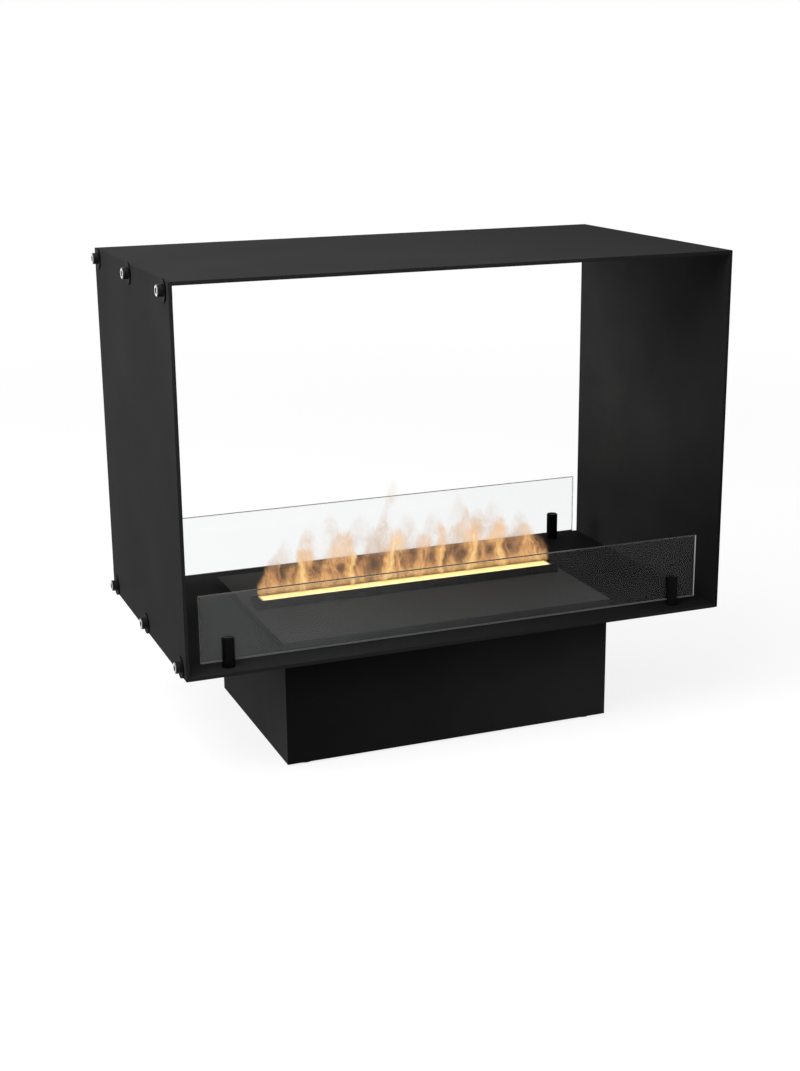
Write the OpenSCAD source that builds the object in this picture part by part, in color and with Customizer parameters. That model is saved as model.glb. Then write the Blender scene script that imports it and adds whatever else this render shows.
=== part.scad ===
// Free-standing see-through fireplace with a water vapour fire.
// A steel frame, bolted at its left side and welded at its right, stands on a narrow pedestal
// that holds the vapour unit.
// The origin is on the floor under the middle of the object, with +Z up and the front facing -Y.

/* [Frame] */
// Overall width across the two side panels
frame_w = 800; // [700:10:1100]
// Overall depth of the frame
frame_d = 440; // [425:5:560]
// Height of the frame from its underside to its top
frame_h = 520; // [400:10:700]
// Thickness of the four frame panels
panel_t = 5; // [4:0.5:7]
// Height of the end flanges that the left side panel bolts to
flange_h = 24; // [22:1:34]
// Thickness of the left end flanges
flange_t = 3; // [2:0.5:5]
// Length cut away from both ends of the left end flanges
flange_setback = 12; // [4:1:14]

/* [Side bolts] */
// Shank diameter of the side bolts
bolt_d = 10; // [8:0.5:11]
// Diameter of the bolt heads
bolt_head_d = 16; // [14:0.5:20]
// Height of the bolt heads
bolt_head_h = 7.5; // [6:0.5:9]
// Width across the flats of the hexagon socket
socket_af = 8; // [5:0.5:8.5]
// Depth of the hexagon socket
socket_depth = 4; // [3:0.5:5]
// Chamfer around the bolt heads
head_chamfer = 1.2; // [0.4:0.2:1.6]
// Diameter of the wide washers
washer_d = 30; // [24:1:34]
// Thickness of the wide washers
washer_t = 2; // [1.5:0.25:2.5]
// Distance of the bolt axes from the frame's upper and lower faces
bolt_edge = 13; // [12:0.5:16]
// Distance of the outer bolt axes from the front and rear edges
bolt_inset = 25; // [22:1:60]
// Number of bolts along each joint
bolts_per_joint = 3; // [2:1:5]

/* [Pedestal] */
// Width of the pedestal
ped_w = 496; // [470:2:560]
// Depth of the pedestal
ped_d = 325; // [318:1:340]
// Height of the pedestal's steel shell
ped_h = 165; // [160:5:240]
// Sheet thickness of the pedestal
ped_t = 2; // [1.5:0.25:2.5]
// Width of the folded flanges under the frame
ped_top_flange = 14; // [12:0.5:15]
// Width of the folded flanges at the floor
ped_bottom_flange = 30; // [28:1:36]
// Diameter of the rubber feet
foot_d = 24; // [18:1:26]
// Height of the rubber feet
foot_h = 3; // [2:0.5:8]
// Width of one air slot in the pedestal's rear wall
vent_w = 4; // [3:0.5:5]
// Height of one air slot in the pedestal's rear wall
vent_h = 36; // [20:2:44]
// Number of air slots in each of the two rows
vent_count = 12; // [6:1:16]

/* [Cover and slot] */
// How far the cover plate stands out past the pedestal's sides
cover_over_x = 3; // [2.5:0.5:8]
// How far the cover plate stands out past the pedestal's front and rear
cover_over_y = 3.5; // [2:0.5:8]
// Height of the cover plate above the base panel
cover_h = 11; // [9:0.5:16]
// Sheet thickness of the cover plate
cover_t = 1.5; // [1:0.25:2]
// Distance from the cover plate's ends to the slot collar
slot_end = 9; // [8:0.5:40]
// Outer width of the slot collar
slot_w = 30; // [28:0.5:34]
// Height of the slot collar above the cover plate
lip_h = 13; // [8:0.5:20]
// Height of the slot collar's two ends
lip_end_h = 5; // [3:0.5:6]
// Sheet thickness of the slot collar
lip_t = 1.5; // [1:0.25:2]

/* [Glass] */
// Thickness of the glass panes
glass_t = 5; // [4:0.5:6]
// Height of the glass panes
glass_h = 94; // [70:2:160]
// Gap between the ends of a pane and the side panels
glass_end_gap = 21; // [10:1:60]
// Distance of the panes' middle planes from the front and rear edges
glass_setback = 25; // [16:1:28]
// Gap between the base panel and the lower edge of the panes
glass_lift = 8; // [8:0.5:12]
// Diameter of the slotted glass holders
post_d = 18; // [16:0.5:20]
// Height of the slotted glass holders
post_h = 42; // [30:1:50]
// Distance of the holders from the ends of the panes
post_inset = 38; // [20:2:70]
// Play of the glass in a holder's slot, each side
glass_play = 0.3; // [0.2:0.05:0.4]
// Thickness of the soft pad under the glass
pad_t = 1; // [0.5:0.25:1.5]

/* [Vapour unit] */
// Depth of the unit's steel casing below the base panel
casing_depth = 122; // [118:0.5:123]
// Size of the casing from front to rear
casing_d = 285; // [284:0.5:287]
// Sheet thickness of the casing
casing_t = 1.5; // [1:0.25:1.75]
// Width of the casing's front and rear ledges
casing_ledge = 9; // [8:0.5:10]
// Height of the basin's feet
basin_leg_h = 12; // [10:0.5:14]
// Height of the water basin
basin_h = 46; // [43:1:48]
// Size of the basin from front to rear
basin_d = 84; // [80:1:86]
// Wall thickness of the basin and of the mist duct
basin_t = 2.5; // [2:0.25:3]
// Height of the mist duct above the basin
duct_h = 39.5; // [36:0.5:42]
// Height of the mist duct's upright skirt
duct_skirt_h = 12; // [11:0.5:16]
// Size of the mist duct's flat top from front to rear
duct_top_d = 52; // [48:1:60]
// Number of ultrasonic discs
disc_count = 6; // [3:1:8]
// Diameter of an ultrasonic disc
disc_d = 20; // [16:1:24]
// Thickness of the opal light guide
guide_t = 2.2; // [1.5:0.1:3]
// Distance from the slot collar's ends to the light guide
guide_inset = 10.5; // [6:0.5:16]
// Height of the light strips
led_board_h = 20; // [12:1:22]
// Number of lamps on each light strip
led_count = 20; // [10:1:28]

/* [Water supply] */
// Length of the water tank
tank_w = 260; // [200:5:270]
// Size of the water tank from front to rear
tank_d = 90; // [80:1:92]
// Height of the water tank
tank_h = 87; // [70:1:92]
// Wall thickness of the water tank
tank_t = 2; // [1.5:0.25:3]
// Outer diameter of the filler neck
neck_d = 36; // [30:1:40]
// Height of the filler neck
neck_h = 13; // [10:0.5:14]
// Outer diameter of the filler cap
cap_d = 46; // [44:1:50]
// Outer diameter of the hose spigots
spigot_d = 8; // [6:0.5:9]
// Wall thickness of the hoses
hose_t = 2; // [1:0.25:2.5]
// Diameter of the level float
float_d = 18; // [14:1:20]
// Height of the level float
float_h = 14; // [10:1:16]
// Upward travel of the level float
float_travel = 12; // [6:1:14]

/* [Fans] */
// Side length of the square fan housings
fan_w = 80; // [70:1:84]
// Height of the fan housings
fan_h = 25; // [20:1:30]
// Distance of the fans from the middle of the unit
fan_x = 130; // [110:5:170]
// Diameter of the fan hubs
hub_d = 32; // [26:1:36]
// Number of blades on a fan
blade_count = 7; // [5:1:9]
// Pitch of the fan blades in degrees
blade_pitch = 38; // [25:1:45]
// Gap between the blade tips and the housing
tip_gap = 1; // [0.6:0.1:2]

/* [Electrics] */
// Length of the power supply
psu_w = 160; // [120:5:170]
// Size of the power supply from front to rear
psu_d = 98; // [80:1:100]
// Height of the power supply
psu_h = 30; // [26:1:36]
// Length and width of the control board
board_w = 100; // [80:2:110]
// Tilt of the rocker either side of level
rocker_tilt = 8; // [5:1:9]

/* [Hidden] */
$fn = 48;
// Overlap of a cutting shape past the face it cuts
cut = 1;
// Radial gap around a screw in its tapped hole
thread_gap = 0.1;
// Radial gap around a screw in its clearance hole
hole_gap = 0.5;
// Gap between parts that are assembled loosely
loose_gap = 0.5;

// Levels above the floor
ped_z = foot_h;
base_z = ped_z + ped_h;
base_top = base_z + panel_t;
cover_top = base_top + cover_h;
lip_top = cover_top + lip_h;
frame_top = base_z + frame_h;
floor_top = ped_z + 2 * ped_t;

// Frame joints
side_x = frame_w / 2;
inner_x = side_x - panel_t;
bolt_z_low = base_z + bolt_edge;
bolt_z_high = frame_top - bolt_edge;
bolt_pitch = (frame_d - 2 * bolt_inset) / (bolts_per_joint - 1);
bolt_ys = [for (i = [0:bolts_per_joint - 1]) -frame_d / 2 + bolt_inset + i * bolt_pitch];

// Pedestal
ped_in_w = ped_w - 2 * ped_t;
ped_in_d = ped_d - 2 * ped_t;
ped_screw_d = 5;
ped_screw_y = ped_in_d / 2 - ped_top_flange / 2;
ped_screw_inset = 40;
ped_screw_x = ped_w / 2 - ped_screw_inset;
foot_inset = 30;
foot_x = ped_w / 2 - foot_inset;
foot_y = ped_d / 2 - ped_t - ped_bottom_flange / 2;
floor_screw_d = 4;
floor_screw_inset = 90;
floor_screw_x = ped_w / 2 - floor_screw_inset;
floor_gap = 0.5;

// Cover and slot
cover_w = ped_w + 2 * cover_over_x;
cover_d = ped_d + 2 * cover_over_y;
slot_l = cover_w - 2 * slot_end;
collar_foot = 4;
collar_gap = 0.2;

// Glass and its holders
glass_w = 2 * inner_x - 2 * glass_end_gap;
glass_y = frame_d / 2 - glass_setback;
glass_z = base_top + glass_lift;
post_x = glass_w / 2 - post_inset;
post_chamfer = 1;
post_screw_d = 5;
post_screw_head_d = 10;
post_screw_depth = 5;

// Casing
casing_w = ped_in_w - 4;
casing_z = base_top - casing_depth;
casing_floor = casing_z + casing_t;
casing_in_w = casing_w - 2 * casing_t;
casing_in_d = casing_d - 2 * casing_t;
cutout_w = casing_w + 1;
cutout_d = casing_d + 1;
ledge_w = cover_w - 2 * cover_t - 2 * loose_gap;
ledge_d = casing_d + 2 * casing_ledge;
casing_screw_d = 3;
casing_screw_x = casing_w / 2 - 60;
casing_screw_y = casing_d / 2 + casing_ledge / 2;

// Basin, duct and light guide
basin_w = casing_in_w - 2;
basin_z = casing_floor + basin_leg_h;
basin_floor = basin_z + basin_t;
duct_z = basin_z + basin_h;
duct_top = duct_z + duct_h;
guide_gap = 0.3;
guide_top = lip_top - 1.5;
guide_w = slot_l - 2 * guide_inset;
guide_d = slot_w - 2 * lip_t - 2 * guide_gap;
throat_w = guide_w - 2 * guide_t;
throat_d = guide_d - 2 * guide_t;
led_t = 1.6;
led_size = 5;
led_rise = 1;
led_y = guide_d / 2 + loose_gap + led_rise;
led_margin = 12;
led_board_w = guide_w;
disc_pitch = 60;
disc_h = 3;
seal_t = 3;
seal_d = disc_d + 2 * seal_t;
seal_h = basin_t + 1;
board_t = 1.6;
driver_w = disc_count * disc_pitch + 30;

// Level float
stem_d = 5;
stem_x = basin_w / 2 - 26;
stem_collar_h = 3;
stem_collar_d = 12;
float_gap = 0.5;
float_z = basin_floor + stem_collar_h;
stem_h = stem_collar_h + float_h + float_travel + 2;
stem_clip_h = 1;

// Tank, valve and hoses
supply_gap = 4;
tank_y = -basin_d / 2 - supply_gap - tank_d / 2;
tank_x = -70;
tank_top = casing_floor + tank_h;
neck_x = tank_x - tank_w / 2 + 45;
neck_t = 2;
cap_h = 15;
cap_gap = 0.5;
cap_seal_t = 1.5;
cap_grips = 18;
spigot_z = basin_floor + 8;
spigot_l = 10;
spigot_bore = 4;
hose_fit = 0.05;
valve_w = 30;
valve_x = tank_x + tank_w / 2 + 55;
valve_h = spigot_z - casing_floor + 10;
coil_d = 22;
coil_h = 20;

// Fans
fan_y = basin_d / 2 + 10 + fan_w / 2;
fan_bore = fan_w - 4;
fan_hole_d = 4.3;
fan_hole = fan_w / 2 - 4.25;
fan_plate = 4;
spindle_d = 3;
spindle_play = 0.06;
rotor_z = 5;
rotor_top_gap = 2;
blade_t = 1.5;
fan_screw_d = 3.5;

// Control board
board_y = basin_d / 2 + 10 + board_w * 0.4;
board_d = board_w * 0.8;
standoff_h = 8;
standoff_d = 6;
board_z = casing_floor + standoff_h;
board_hole = 5;
relay_w = 15;
relay_d = 19;
relay_x = 21;
relay_y = 18;
can_d = 10;
can_h = 16;
can_x = 22;
can_pitch = 14;
can_y = 22;
terminal_w = 60;
terminal_d = 9;
terminal_h = 11;
terminal_y = 24;
chip_w = 14;
chip_h = 2;
chip_x = 18;
sink_x = 20;
sink_w = 30;
sink_d = 16;
sink_h = 18;
sink_foot = 3;
fin_t = 1.6;
fin_pitch = 4.4;
row_y = 4;

// Electrics in the pedestal
psu_x = -120;
inlet_inset = 68;
inlet_x = ped_w / 2 - inlet_inset;
inlet_rise = 17;
inlet_z = floor_top + inlet_rise;
wall_y = ped_d / 2;
inlet_w = 50;
inlet_h = 24;
inlet_flange_t = 3;
inlet_body_w = 28;
inlet_body_h = 20;
inlet_depth = 18;
socket_w = 24;
socket_h = 16;
pin_pitch = 7;
inlet_screw_x = 20;
inlet_screw_d = 3;
switch_pitch = 52;
switch_x = inlet_x - switch_pitch;
bezel_w = 15;
bezel_h = 21;
bezel_t = 2;
switch_body_w = 12.8;
switch_body_h = 19;
switch_depth = 14;
rocker_w = 10.4;
rocker_h = 16;
rocker_well_w = 11;
rocker_well_h = 17;
rocker_well_depth = 7;
rocker_pin_d = 2;
rocker_pin_play = 0.08;
mains_d = 7;
mains_bend = 28;
mains_y = 20;
supply_d = 5;
supply_bend = 20;
supply_x = psu_x + psu_w / 2 - 10;
grommet_flange = 2;

// Box centred in X and Y that stands on z
module slab(w, d, h, z = 0) {
  translate([-w / 2, -d / 2, z]) cube([w, d, h]);
}

// Cylinder lying along X, starting at x
module rod_x(d, l, x = 0) {
  translate([x, 0, 0]) rotate([0, 90, 0]) cylinder(d = d, h = l);
}

// Cylinder lying along Y, starting at y
module rod_y(d, l, y = 0) {
  translate([0, y, 0]) rotate([-90, 0, 0]) cylinder(d = d, h = l);
}

// Flat square with rounded corners
module round_square(w, d, r) {
  square([w - 2 * r, d], center = true);
  square([w, d - 2 * r], center = true);
  for (x = [-1, 1], y = [-1, 1]) translate([x * (w / 2 - r), y * (d / 2 - r)]) circle(r);
}

// Quarter turn of a round cable, from the X axis towards the Y axis
module cable_bend(r, d) {
  rotate_extrude(angle = 90) translate([r, 0]) circle(d = d);
}

// Four copies, one in each corner
module corners(x, y) {
  for (i = [-1, 1], j = [-1, 1]) translate([i * x, j * y, 0]) children();
}

// End flange that stands on the inner face of a frame panel, at its left end
module end_flange(z) {
  d = frame_d - 2 * flange_setback;
  translate([-inner_x, -d / 2, z]) cube([flange_t, d, flange_h - panel_t]);
}

// Tapped holes for the side bolts at one level
module tapped_holes(z) {
  for (y = bolt_ys)
    translate([0, y, z]) rod_x(bolt_d + 2 * thread_gap, flange_t + 2 * cut, -inner_x - cut);
}

module top_panel() {
  color("#2a2a2b") difference() {
    union() {
      slab(2 * inner_x, frame_d, panel_t, frame_top - panel_t);
      end_flange(frame_top - flange_h);
    }
    tapped_holes(bolt_z_high);
  }
}

module base_panel() {
  color("#2a2a2b") difference() {
    union() {
      slab(2 * inner_x, frame_d, panel_t, base_z);
      end_flange(base_top);
    }
    tapped_holes(bolt_z_low);
    slab(cutout_w, cutout_d, panel_t + 2 * cut, base_z - cut);
    base_screw_holes();
  }
}

// Holes in the base panel for the holders, the pedestal and the casing
module base_screw_holes() {
  corners(post_x, glass_y) translate([0, 0, base_z - cut]) {
    cylinder(d = post_screw_d + 2 * hole_gap, h = panel_t + 2 * cut);
    cylinder(d = post_screw_head_d + 2 * hole_gap, h = cut + 3);
  }
  corners(ped_screw_x, ped_screw_y) translate([0, 0, base_z - cut])
    cylinder(d = ped_screw_d + 2 * thread_gap, h = panel_t);
  corners(casing_screw_x, casing_screw_y) translate([0, 0, base_top - 4])
    cylinder(d = casing_screw_d + 2 * thread_gap, h = 4 + cut);
}

// Side panel with its left face at x
module side_panel(x) {
  translate([x, -frame_d / 2, base_z]) cube([panel_t, frame_d, frame_h]);
}

module left_side_panel() {
  color("#2c2c2d") difference() {
    side_panel(-side_x);
    for (y = bolt_ys, z = [bolt_z_low, bolt_z_high])
      translate([0, y, z]) rod_x(bolt_d + 2 * hole_gap, panel_t + 2 * cut, -side_x - cut);
  }
}

// The right side panel is welded flush to the top and the base
module right_side_panel() {
  color("#2c2c2d") side_panel(inner_x);
}

// Socket head bolt with its head towards -X and the head's seat at the origin
module side_bolt() {
  shank = washer_t + panel_t + flange_t - 0.5;
  difference() {
    union() {
      rod_x(bolt_d, shank);
      rod_x(bolt_head_d, bolt_head_h - head_chamfer, head_chamfer - bolt_head_h);
      translate([-bolt_head_h, 0, 0]) rotate([0, 90, 0])
        cylinder(d1 = bolt_head_d - 2 * head_chamfer, d2 = bolt_head_d, h = head_chamfer);
    }
    translate([-bolt_head_h - cut, 0, 0]) rotate([0, 90, 0])
      cylinder(d = socket_af / cos(30), h = socket_depth + cut, $fn = 6);
  }
}

module left_side_bolts() {
  color("#151515") for (y = bolt_ys, z = [bolt_z_low, bolt_z_high])
    translate([-side_x - washer_t, y, z]) side_bolt();
}

module left_side_washers() {
  color("#101010") for (y = bolt_ys, z = [bolt_z_low, bolt_z_high])
    translate([-side_x - washer_t, y, z]) difference() {
      rod_x(washer_d, washer_t);
      rod_x(bolt_d + 2 * hole_gap, washer_t + 2 * cut, -cut);
    }
}

// Row of upright air slots in the rear wall, around x
module vent_row(x) {
  pitch = 2.4 * vent_w;
  z = ped_z + ped_h - 30 - vent_h;
  for (i = [0:vent_count - 1])
    translate([x + (i - (vent_count - 1) / 2) * pitch - vent_w / 2, ped_d / 2 - ped_t - cut, z])
      cube([vent_w, ped_t + 2 * cut, vent_h]);
}

module pedestal_shell() {
  color("#262627") difference() {
    slab(ped_w, ped_d, ped_h, ped_z);
    slab(ped_in_w, ped_in_d, ped_h - 2 * ped_t, ped_z + ped_t);
    slab(ped_in_w, ped_in_d - 2 * ped_bottom_flange, 2 * cut + ped_t, ped_z - cut);
    slab(ped_in_w, ped_in_d - 2 * ped_top_flange, 2 * cut + ped_t, base_z - ped_t - cut);
    for (s = [-1, 1]) vent_row(s * ped_w / 4);
    corners(ped_screw_x, ped_screw_y) translate([0, 0, base_z - ped_t - cut])
      cylinder(d = ped_screw_d + 2 * hole_gap, h = ped_t + 2 * cut);
    corners(floor_screw_x, foot_y) translate([0, 0, ped_z - cut])
      cylinder(d = floor_screw_d + 2 * hole_gap, h = ped_t + 2 * cut);
    translate([inlet_x, 0, inlet_z]) inlet_cut();
    translate([switch_x, 0, inlet_z]) switch_cut();
  }
}

// Hole in the rear wall for the power inlet and its two screws
module inlet_cut() {
  translate([-inlet_body_w / 2 - loose_gap, wall_y - ped_t - cut, -inlet_body_h / 2 - loose_gap])
    cube([inlet_body_w + 2 * loose_gap, ped_t + 2 * cut, inlet_body_h + 2 * loose_gap]);
  for (s = [-1, 1]) translate([s * inlet_screw_x, 0, 0])
    rod_y(inlet_screw_d + 2 * thread_gap, ped_t + 2 * cut, wall_y - ped_t - cut);
}

// Hole in the rear wall for the switch
module switch_cut() {
  w = switch_body_w + 2 * thread_gap;
  h = switch_body_h + 2 * thread_gap;
  translate([-w / 2, wall_y - ped_t - cut, -h / 2]) cube([w, ped_t + 2 * cut, h]);
}

module pedestal_floor() {
  w = ped_in_w - 2 * floor_gap;
  d = ped_in_d - 2 * floor_gap;
  color("#3a3a3b") difference() {
    slab(w, d, ped_t, ped_z + ped_t);
    corners(floor_screw_x, foot_y) translate([0, 0, ped_z])
      cylinder(d = floor_screw_d + 2 * thread_gap, h = 2 * ped_t + cut);
    for (s = [-1, 1], i = [-3:3])
      translate([s * fan_x + i * 12 - vent_w / 2, -80, ped_z]) cube([vent_w, 60, 2 * ped_t + cut]);
  }
}

// Pan head screw that points up from z
module screw_up(d, l, z) {
  translate([0, 0, z]) cylinder(d = d, h = l);
  translate([0, 0, z - 0.5 * d]) cylinder(d = 2 * d, h = 0.5 * d);
}

module pedestal_screws() {
  color("silver") corners(ped_screw_x, ped_screw_y)
    screw_up(ped_screw_d, ped_t + panel_t - 1.5, base_z - ped_t);
}

module floor_screws() {
  color("silver") corners(floor_screw_x, foot_y)
    screw_up(floor_screw_d, 2 * ped_t + 1, ped_z);
}

module rubber_feet() {
  color("#1b1b1b") corners(foot_x, foot_y) cylinder(d = foot_d, h = foot_h);
}

// Round holder with a slot for the glass, standing on the base panel
module glass_post() {
  slot_z = glass_lift - pad_t;
  slot = glass_t + 2 * glass_play;
  difference() {
    union() {
      cylinder(d = post_d, h = post_h - post_chamfer);
      translate([0, 0, post_h - post_chamfer])
        cylinder(d1 = post_d, d2 = post_d - 2 * post_chamfer, h = post_chamfer);
    }
    translate([-post_d, -slot / 2, slot_z]) cube([2 * post_d, slot, post_h]);
    translate([0, 0, -cut])
      cylinder(d = post_screw_d + 2 * thread_gap, h = post_screw_depth + cut + thread_gap);
  }
}

module front_left_post() {
  color("#0e0e0e") translate([-post_x, -glass_y, base_top]) glass_post();
}

module front_right_post() {
  color("#0e0e0e") translate([post_x, -glass_y, base_top]) glass_post();
}

module rear_left_post() {
  color("#0e0e0e") translate([-post_x, glass_y, base_top]) glass_post();
}

module rear_right_post() {
  color("#0e0e0e") translate([post_x, glass_y, base_top]) glass_post();
}

module post_screws() {
  head = 2.5;
  color("silver") corners(post_x, glass_y) translate([0, 0, base_z]) {
    cylinder(d = post_screw_d, h = panel_t + post_screw_depth);
    translate([0, 0, 3 - cut - head / 2]) cylinder(d = post_screw_head_d, h = cut + head / 2);
  }
}

module glass_pads() {
  color("#2e2e2e") corners(post_x, glass_y)
    slab(0.8 * post_d, glass_t, pad_t, glass_z - pad_t);
}

// Pane of glass with its middle plane at y
module pane(y) {
  translate([-glass_w / 2, y - glass_t / 2, glass_z]) cube([glass_w, glass_t, glass_h]);
}

module front_glass() {
  color("#cfe3e0", 0.35) pane(-glass_y);
}

module rear_glass() {
  color("#cfe3e0", 0.35) pane(glass_y);
}

module cover_plate() {
  color("#303031") difference() {
    slab(cover_w, cover_d, cover_h, base_top);
    slab(cover_w - 2 * cover_t, cover_d - 2 * cover_t, cover_h - cover_t + cut, base_top - cut);
    slab(slot_l + 2 * collar_gap, slot_w + 2 * collar_gap, cover_t + 2 * cut, cover_top - cover_t - cut);
  }
}

// Raised collar around the slot: two lips with a foot under the cover plate, folded low ends,
// and an upright bulkhead between the lips at each end of the light guide
module slot_collar() {
  foot_z = cover_top - 2 * cover_t;
  gap_d = slot_w - 2 * lip_t;
  pocket_w = guide_w + 2 * guide_gap;
  color("#1d1d1e") difference() {
    union() {
      slab(slot_l, slot_w, lip_top - foot_z, foot_z);
      slab(slot_l + 2 * collar_foot, slot_w + 2 * collar_foot, cover_t, foot_z);
    }
    slab(pocket_w, gap_d, lip_top, foot_z - cut);
    slab(slot_l + 2 * cut, gap_d, lip_h, guide_top);
    for (s = [0, 1]) mirror([s, 0, 0]) translate([pocket_w / 2 + lip_t, -gap_d / 2, 0])
      collar_end_cuts(slot_l / 2 - pocket_w / 2 - lip_t, gap_d, foot_z);
  }
}

// Spaces over and under the folded end of the slot collar, w long and d from front to rear
module collar_end_cuts(w, d, foot_z) {
  deck_z = cover_top + lip_end_h;
  translate([0, 0, deck_z]) cube([w + cut, d, lip_h]);
  translate([0, 0, foot_z - cut]) cube([w - lip_t, d, deck_z - lip_t - foot_z + cut]);
}

module unit_casing() {
  color("#5b5e60") difference() {
    union() {
      slab(casing_w, casing_d, casing_depth, casing_z);
      slab(ledge_w, ledge_d, casing_t, base_top);
    }
    slab(casing_in_w, casing_in_d, casing_depth + cut, casing_floor);
    for (s = [-1, 1]) translate([s * fan_x, fan_y, casing_z - cut]) fan_grille();
    translate([supply_x, supply_rise_y(), casing_z - cut])
      cylinder(d = supply_d + 2 * grommet_flange, h = casing_t + 2 * cut);
    corners(casing_screw_x, casing_screw_y) translate([0, 0, base_top - cut])
      cylinder(d = casing_screw_d + 2 * hole_gap, h = casing_t + 2 * cut);
    corners(fan_x, 0) translate([0, fan_y, casing_z - cut]) corners(fan_hole, fan_hole)
      cylinder(d = fan_screw_d, h = casing_t + 2 * cut);
  }
}

// Parallel air slots cut to a circle, under a fan
module fan_grille() {
  intersection() {
    cylinder(d = fan_bore - 4, h = casing_t + 2 * cut);
    for (i = [-4:4]) translate([-fan_w / 2, i * 8 - 2, 0]) cube([fan_w, 4, casing_t + 2 * cut]);
  }
}

module casing_screws() {
  color("silver") corners(casing_screw_x, casing_screw_y) {
    translate([0, 0, base_top - 3]) cylinder(d = casing_screw_d, h = casing_t + 3);
    translate([0, 0, base_top + casing_t]) cylinder(d = 2 * casing_screw_d, h = 0.5 * casing_screw_d);
  }
}

// One copy at each ultrasonic disc
module disc_places() {
  for (i = [0:disc_count - 1])
    translate([(i - (disc_count - 1) / 2) * disc_pitch - 10, 0, 0]) children();
}

module vapour_basin() {
  leg = 10;
  color("#d9dcdd") difference() {
    union() {
      slab(basin_w, basin_d, basin_h, basin_z);
      corners(basin_w / 2 - leg, basin_d / 2 - leg) slab(leg, leg, basin_leg_h, casing_floor);
    }
    slab(basin_w - 2 * basin_t, basin_d - 2 * basin_t, basin_h, basin_floor);
    disc_places() translate([0, 0, basin_z - cut]) cylinder(d = seal_d, h = basin_t + 2 * cut);
    translate([valve_x, 0, spigot_z]) rod_y(spigot_d, basin_t + 2 * cut, -basin_d / 2 - cut);
  }
}

// Hose fitting pushed through the basin's front wall from inside
module basin_fitting() {
  head_t = 1.5;
  l = spigot_l + basin_t + head_t;
  color("#c9cccd") translate([valve_x, -basin_d / 2 - spigot_l, spigot_z]) difference() {
    union() {
      rod_y(spigot_d, l);
      rod_y(1.5 * spigot_d, head_t, l - head_t);
    }
    rod_y(spigot_bore, l + 2 * cut, -cut);
  }
}

module disc_seals() {
  color("#2b2b2b") disc_places() translate([0, 0, basin_z]) difference() {
    cylinder(d = seal_d, h = seal_h);
    translate([0, 0, -cut]) cylinder(d = disc_d, h = seal_h + 2 * cut);
  }
}

module ultrasonic_discs() {
  color("#c9b060") disc_places() translate([0, 0, basin_z]) cylinder(d = disc_d, h = disc_h);
}

module driver_board() {
  color("#1f5a35") translate([-10, 0, 0]) slab(driver_w, basin_d / 2, board_t, basin_z - board_t);
}

module float_stem() {
  color("#e8e8e6") translate([stem_x, 0, basin_floor]) {
    cylinder(d = stem_d, h = stem_h);
    cylinder(d = stem_collar_d, h = stem_collar_h);
    translate([0, 0, stem_h]) cylinder(d = stem_collar_d - 3, h = stem_clip_h);
  }
}

module level_float() {
  color("#f2f2ee") translate([stem_x, 0, float_z]) difference() {
    union() {
      cylinder(d1 = float_d - 3, d2 = float_d, h = 2);
      translate([0, 0, 2]) cylinder(d = float_d, h = float_h - 4);
      translate([0, 0, float_h - 2]) cylinder(d1 = float_d, d2 = float_d - 3, h = 2);
    }
    translate([0, 0, -cut]) cylinder(d = stem_d + 2 * float_gap, h = float_h + 2 * cut);
  }
}

// House-shaped cross-section of the duct, with its foot at z = 0
module duct_section(d, skirt, top, h) {
  polygon([[-d / 2, 0], [d / 2, 0], [d / 2, skirt], [top / 2, h], [-top / 2, h], [-d / 2, skirt]]);
}

// A cross-section drawn in Y and Z, extended along X
module along_x(l) {
  translate([-l / 2, 0, 0]) rotate([90, 0, 90]) linear_extrude(l) children();
}

module mist_duct() {
  slots = 9;
  slot_pitch = basin_w / slots;
  color("#3b3d3f") translate([0, 0, duct_z]) difference() {
    along_x(basin_w) duct_section(basin_d, duct_skirt_h, duct_top_d, duct_h);
    along_x(basin_w - 2 * basin_t) translate([0, -cut])
      duct_section(basin_d - 2 * basin_t, duct_skirt_h + cut, duct_top_d - basin_t, duct_h - basin_t + cut);
    slab(throat_w, throat_d, basin_t + 2 * cut, duct_h - basin_t - cut);
    for (i = [0:slots - 1])
      translate([(i - (slots - 1) / 2) * slot_pitch - 12, basin_d / 2 - basin_t - cut, 3])
        cube([24, basin_t + 2 * cut, duct_skirt_h - 5]);
  }
}

module light_guide() {
  color("#ffe9ae") difference() {
    slab(guide_w, guide_d, guide_top - duct_top, duct_top);
    slab(throat_w, throat_d, guide_top, duct_top - cut);
  }
}

// Circuit strip for the lamps, with its lamp side at y = 0 facing -Y
module light_strip() {
  translate([-led_board_w / 2, 0, duct_top]) cube([led_board_w, led_t, led_board_h]);
}

module front_light_strip() {
  color("#e9e9e4") mirror([0, 1, 0]) translate([0, led_y, 0]) light_strip();
}

module rear_light_strip() {
  color("#e9e9e4") translate([0, led_y, 0]) light_strip();
}

module lamp_chips() {
  pitch = (led_board_w - 2 * led_margin) / (led_count - 1);
  color("#fff2b8") for (s = [0, 1], i = [0:led_count - 1]) mirror([0, s, 0])
    translate([-led_board_w / 2 + led_margin + i * pitch - led_size / 2, led_y - led_rise,
               duct_top + led_board_h / 2 - led_size / 2])
      cube([led_size, led_rise, led_size]);
}

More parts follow.
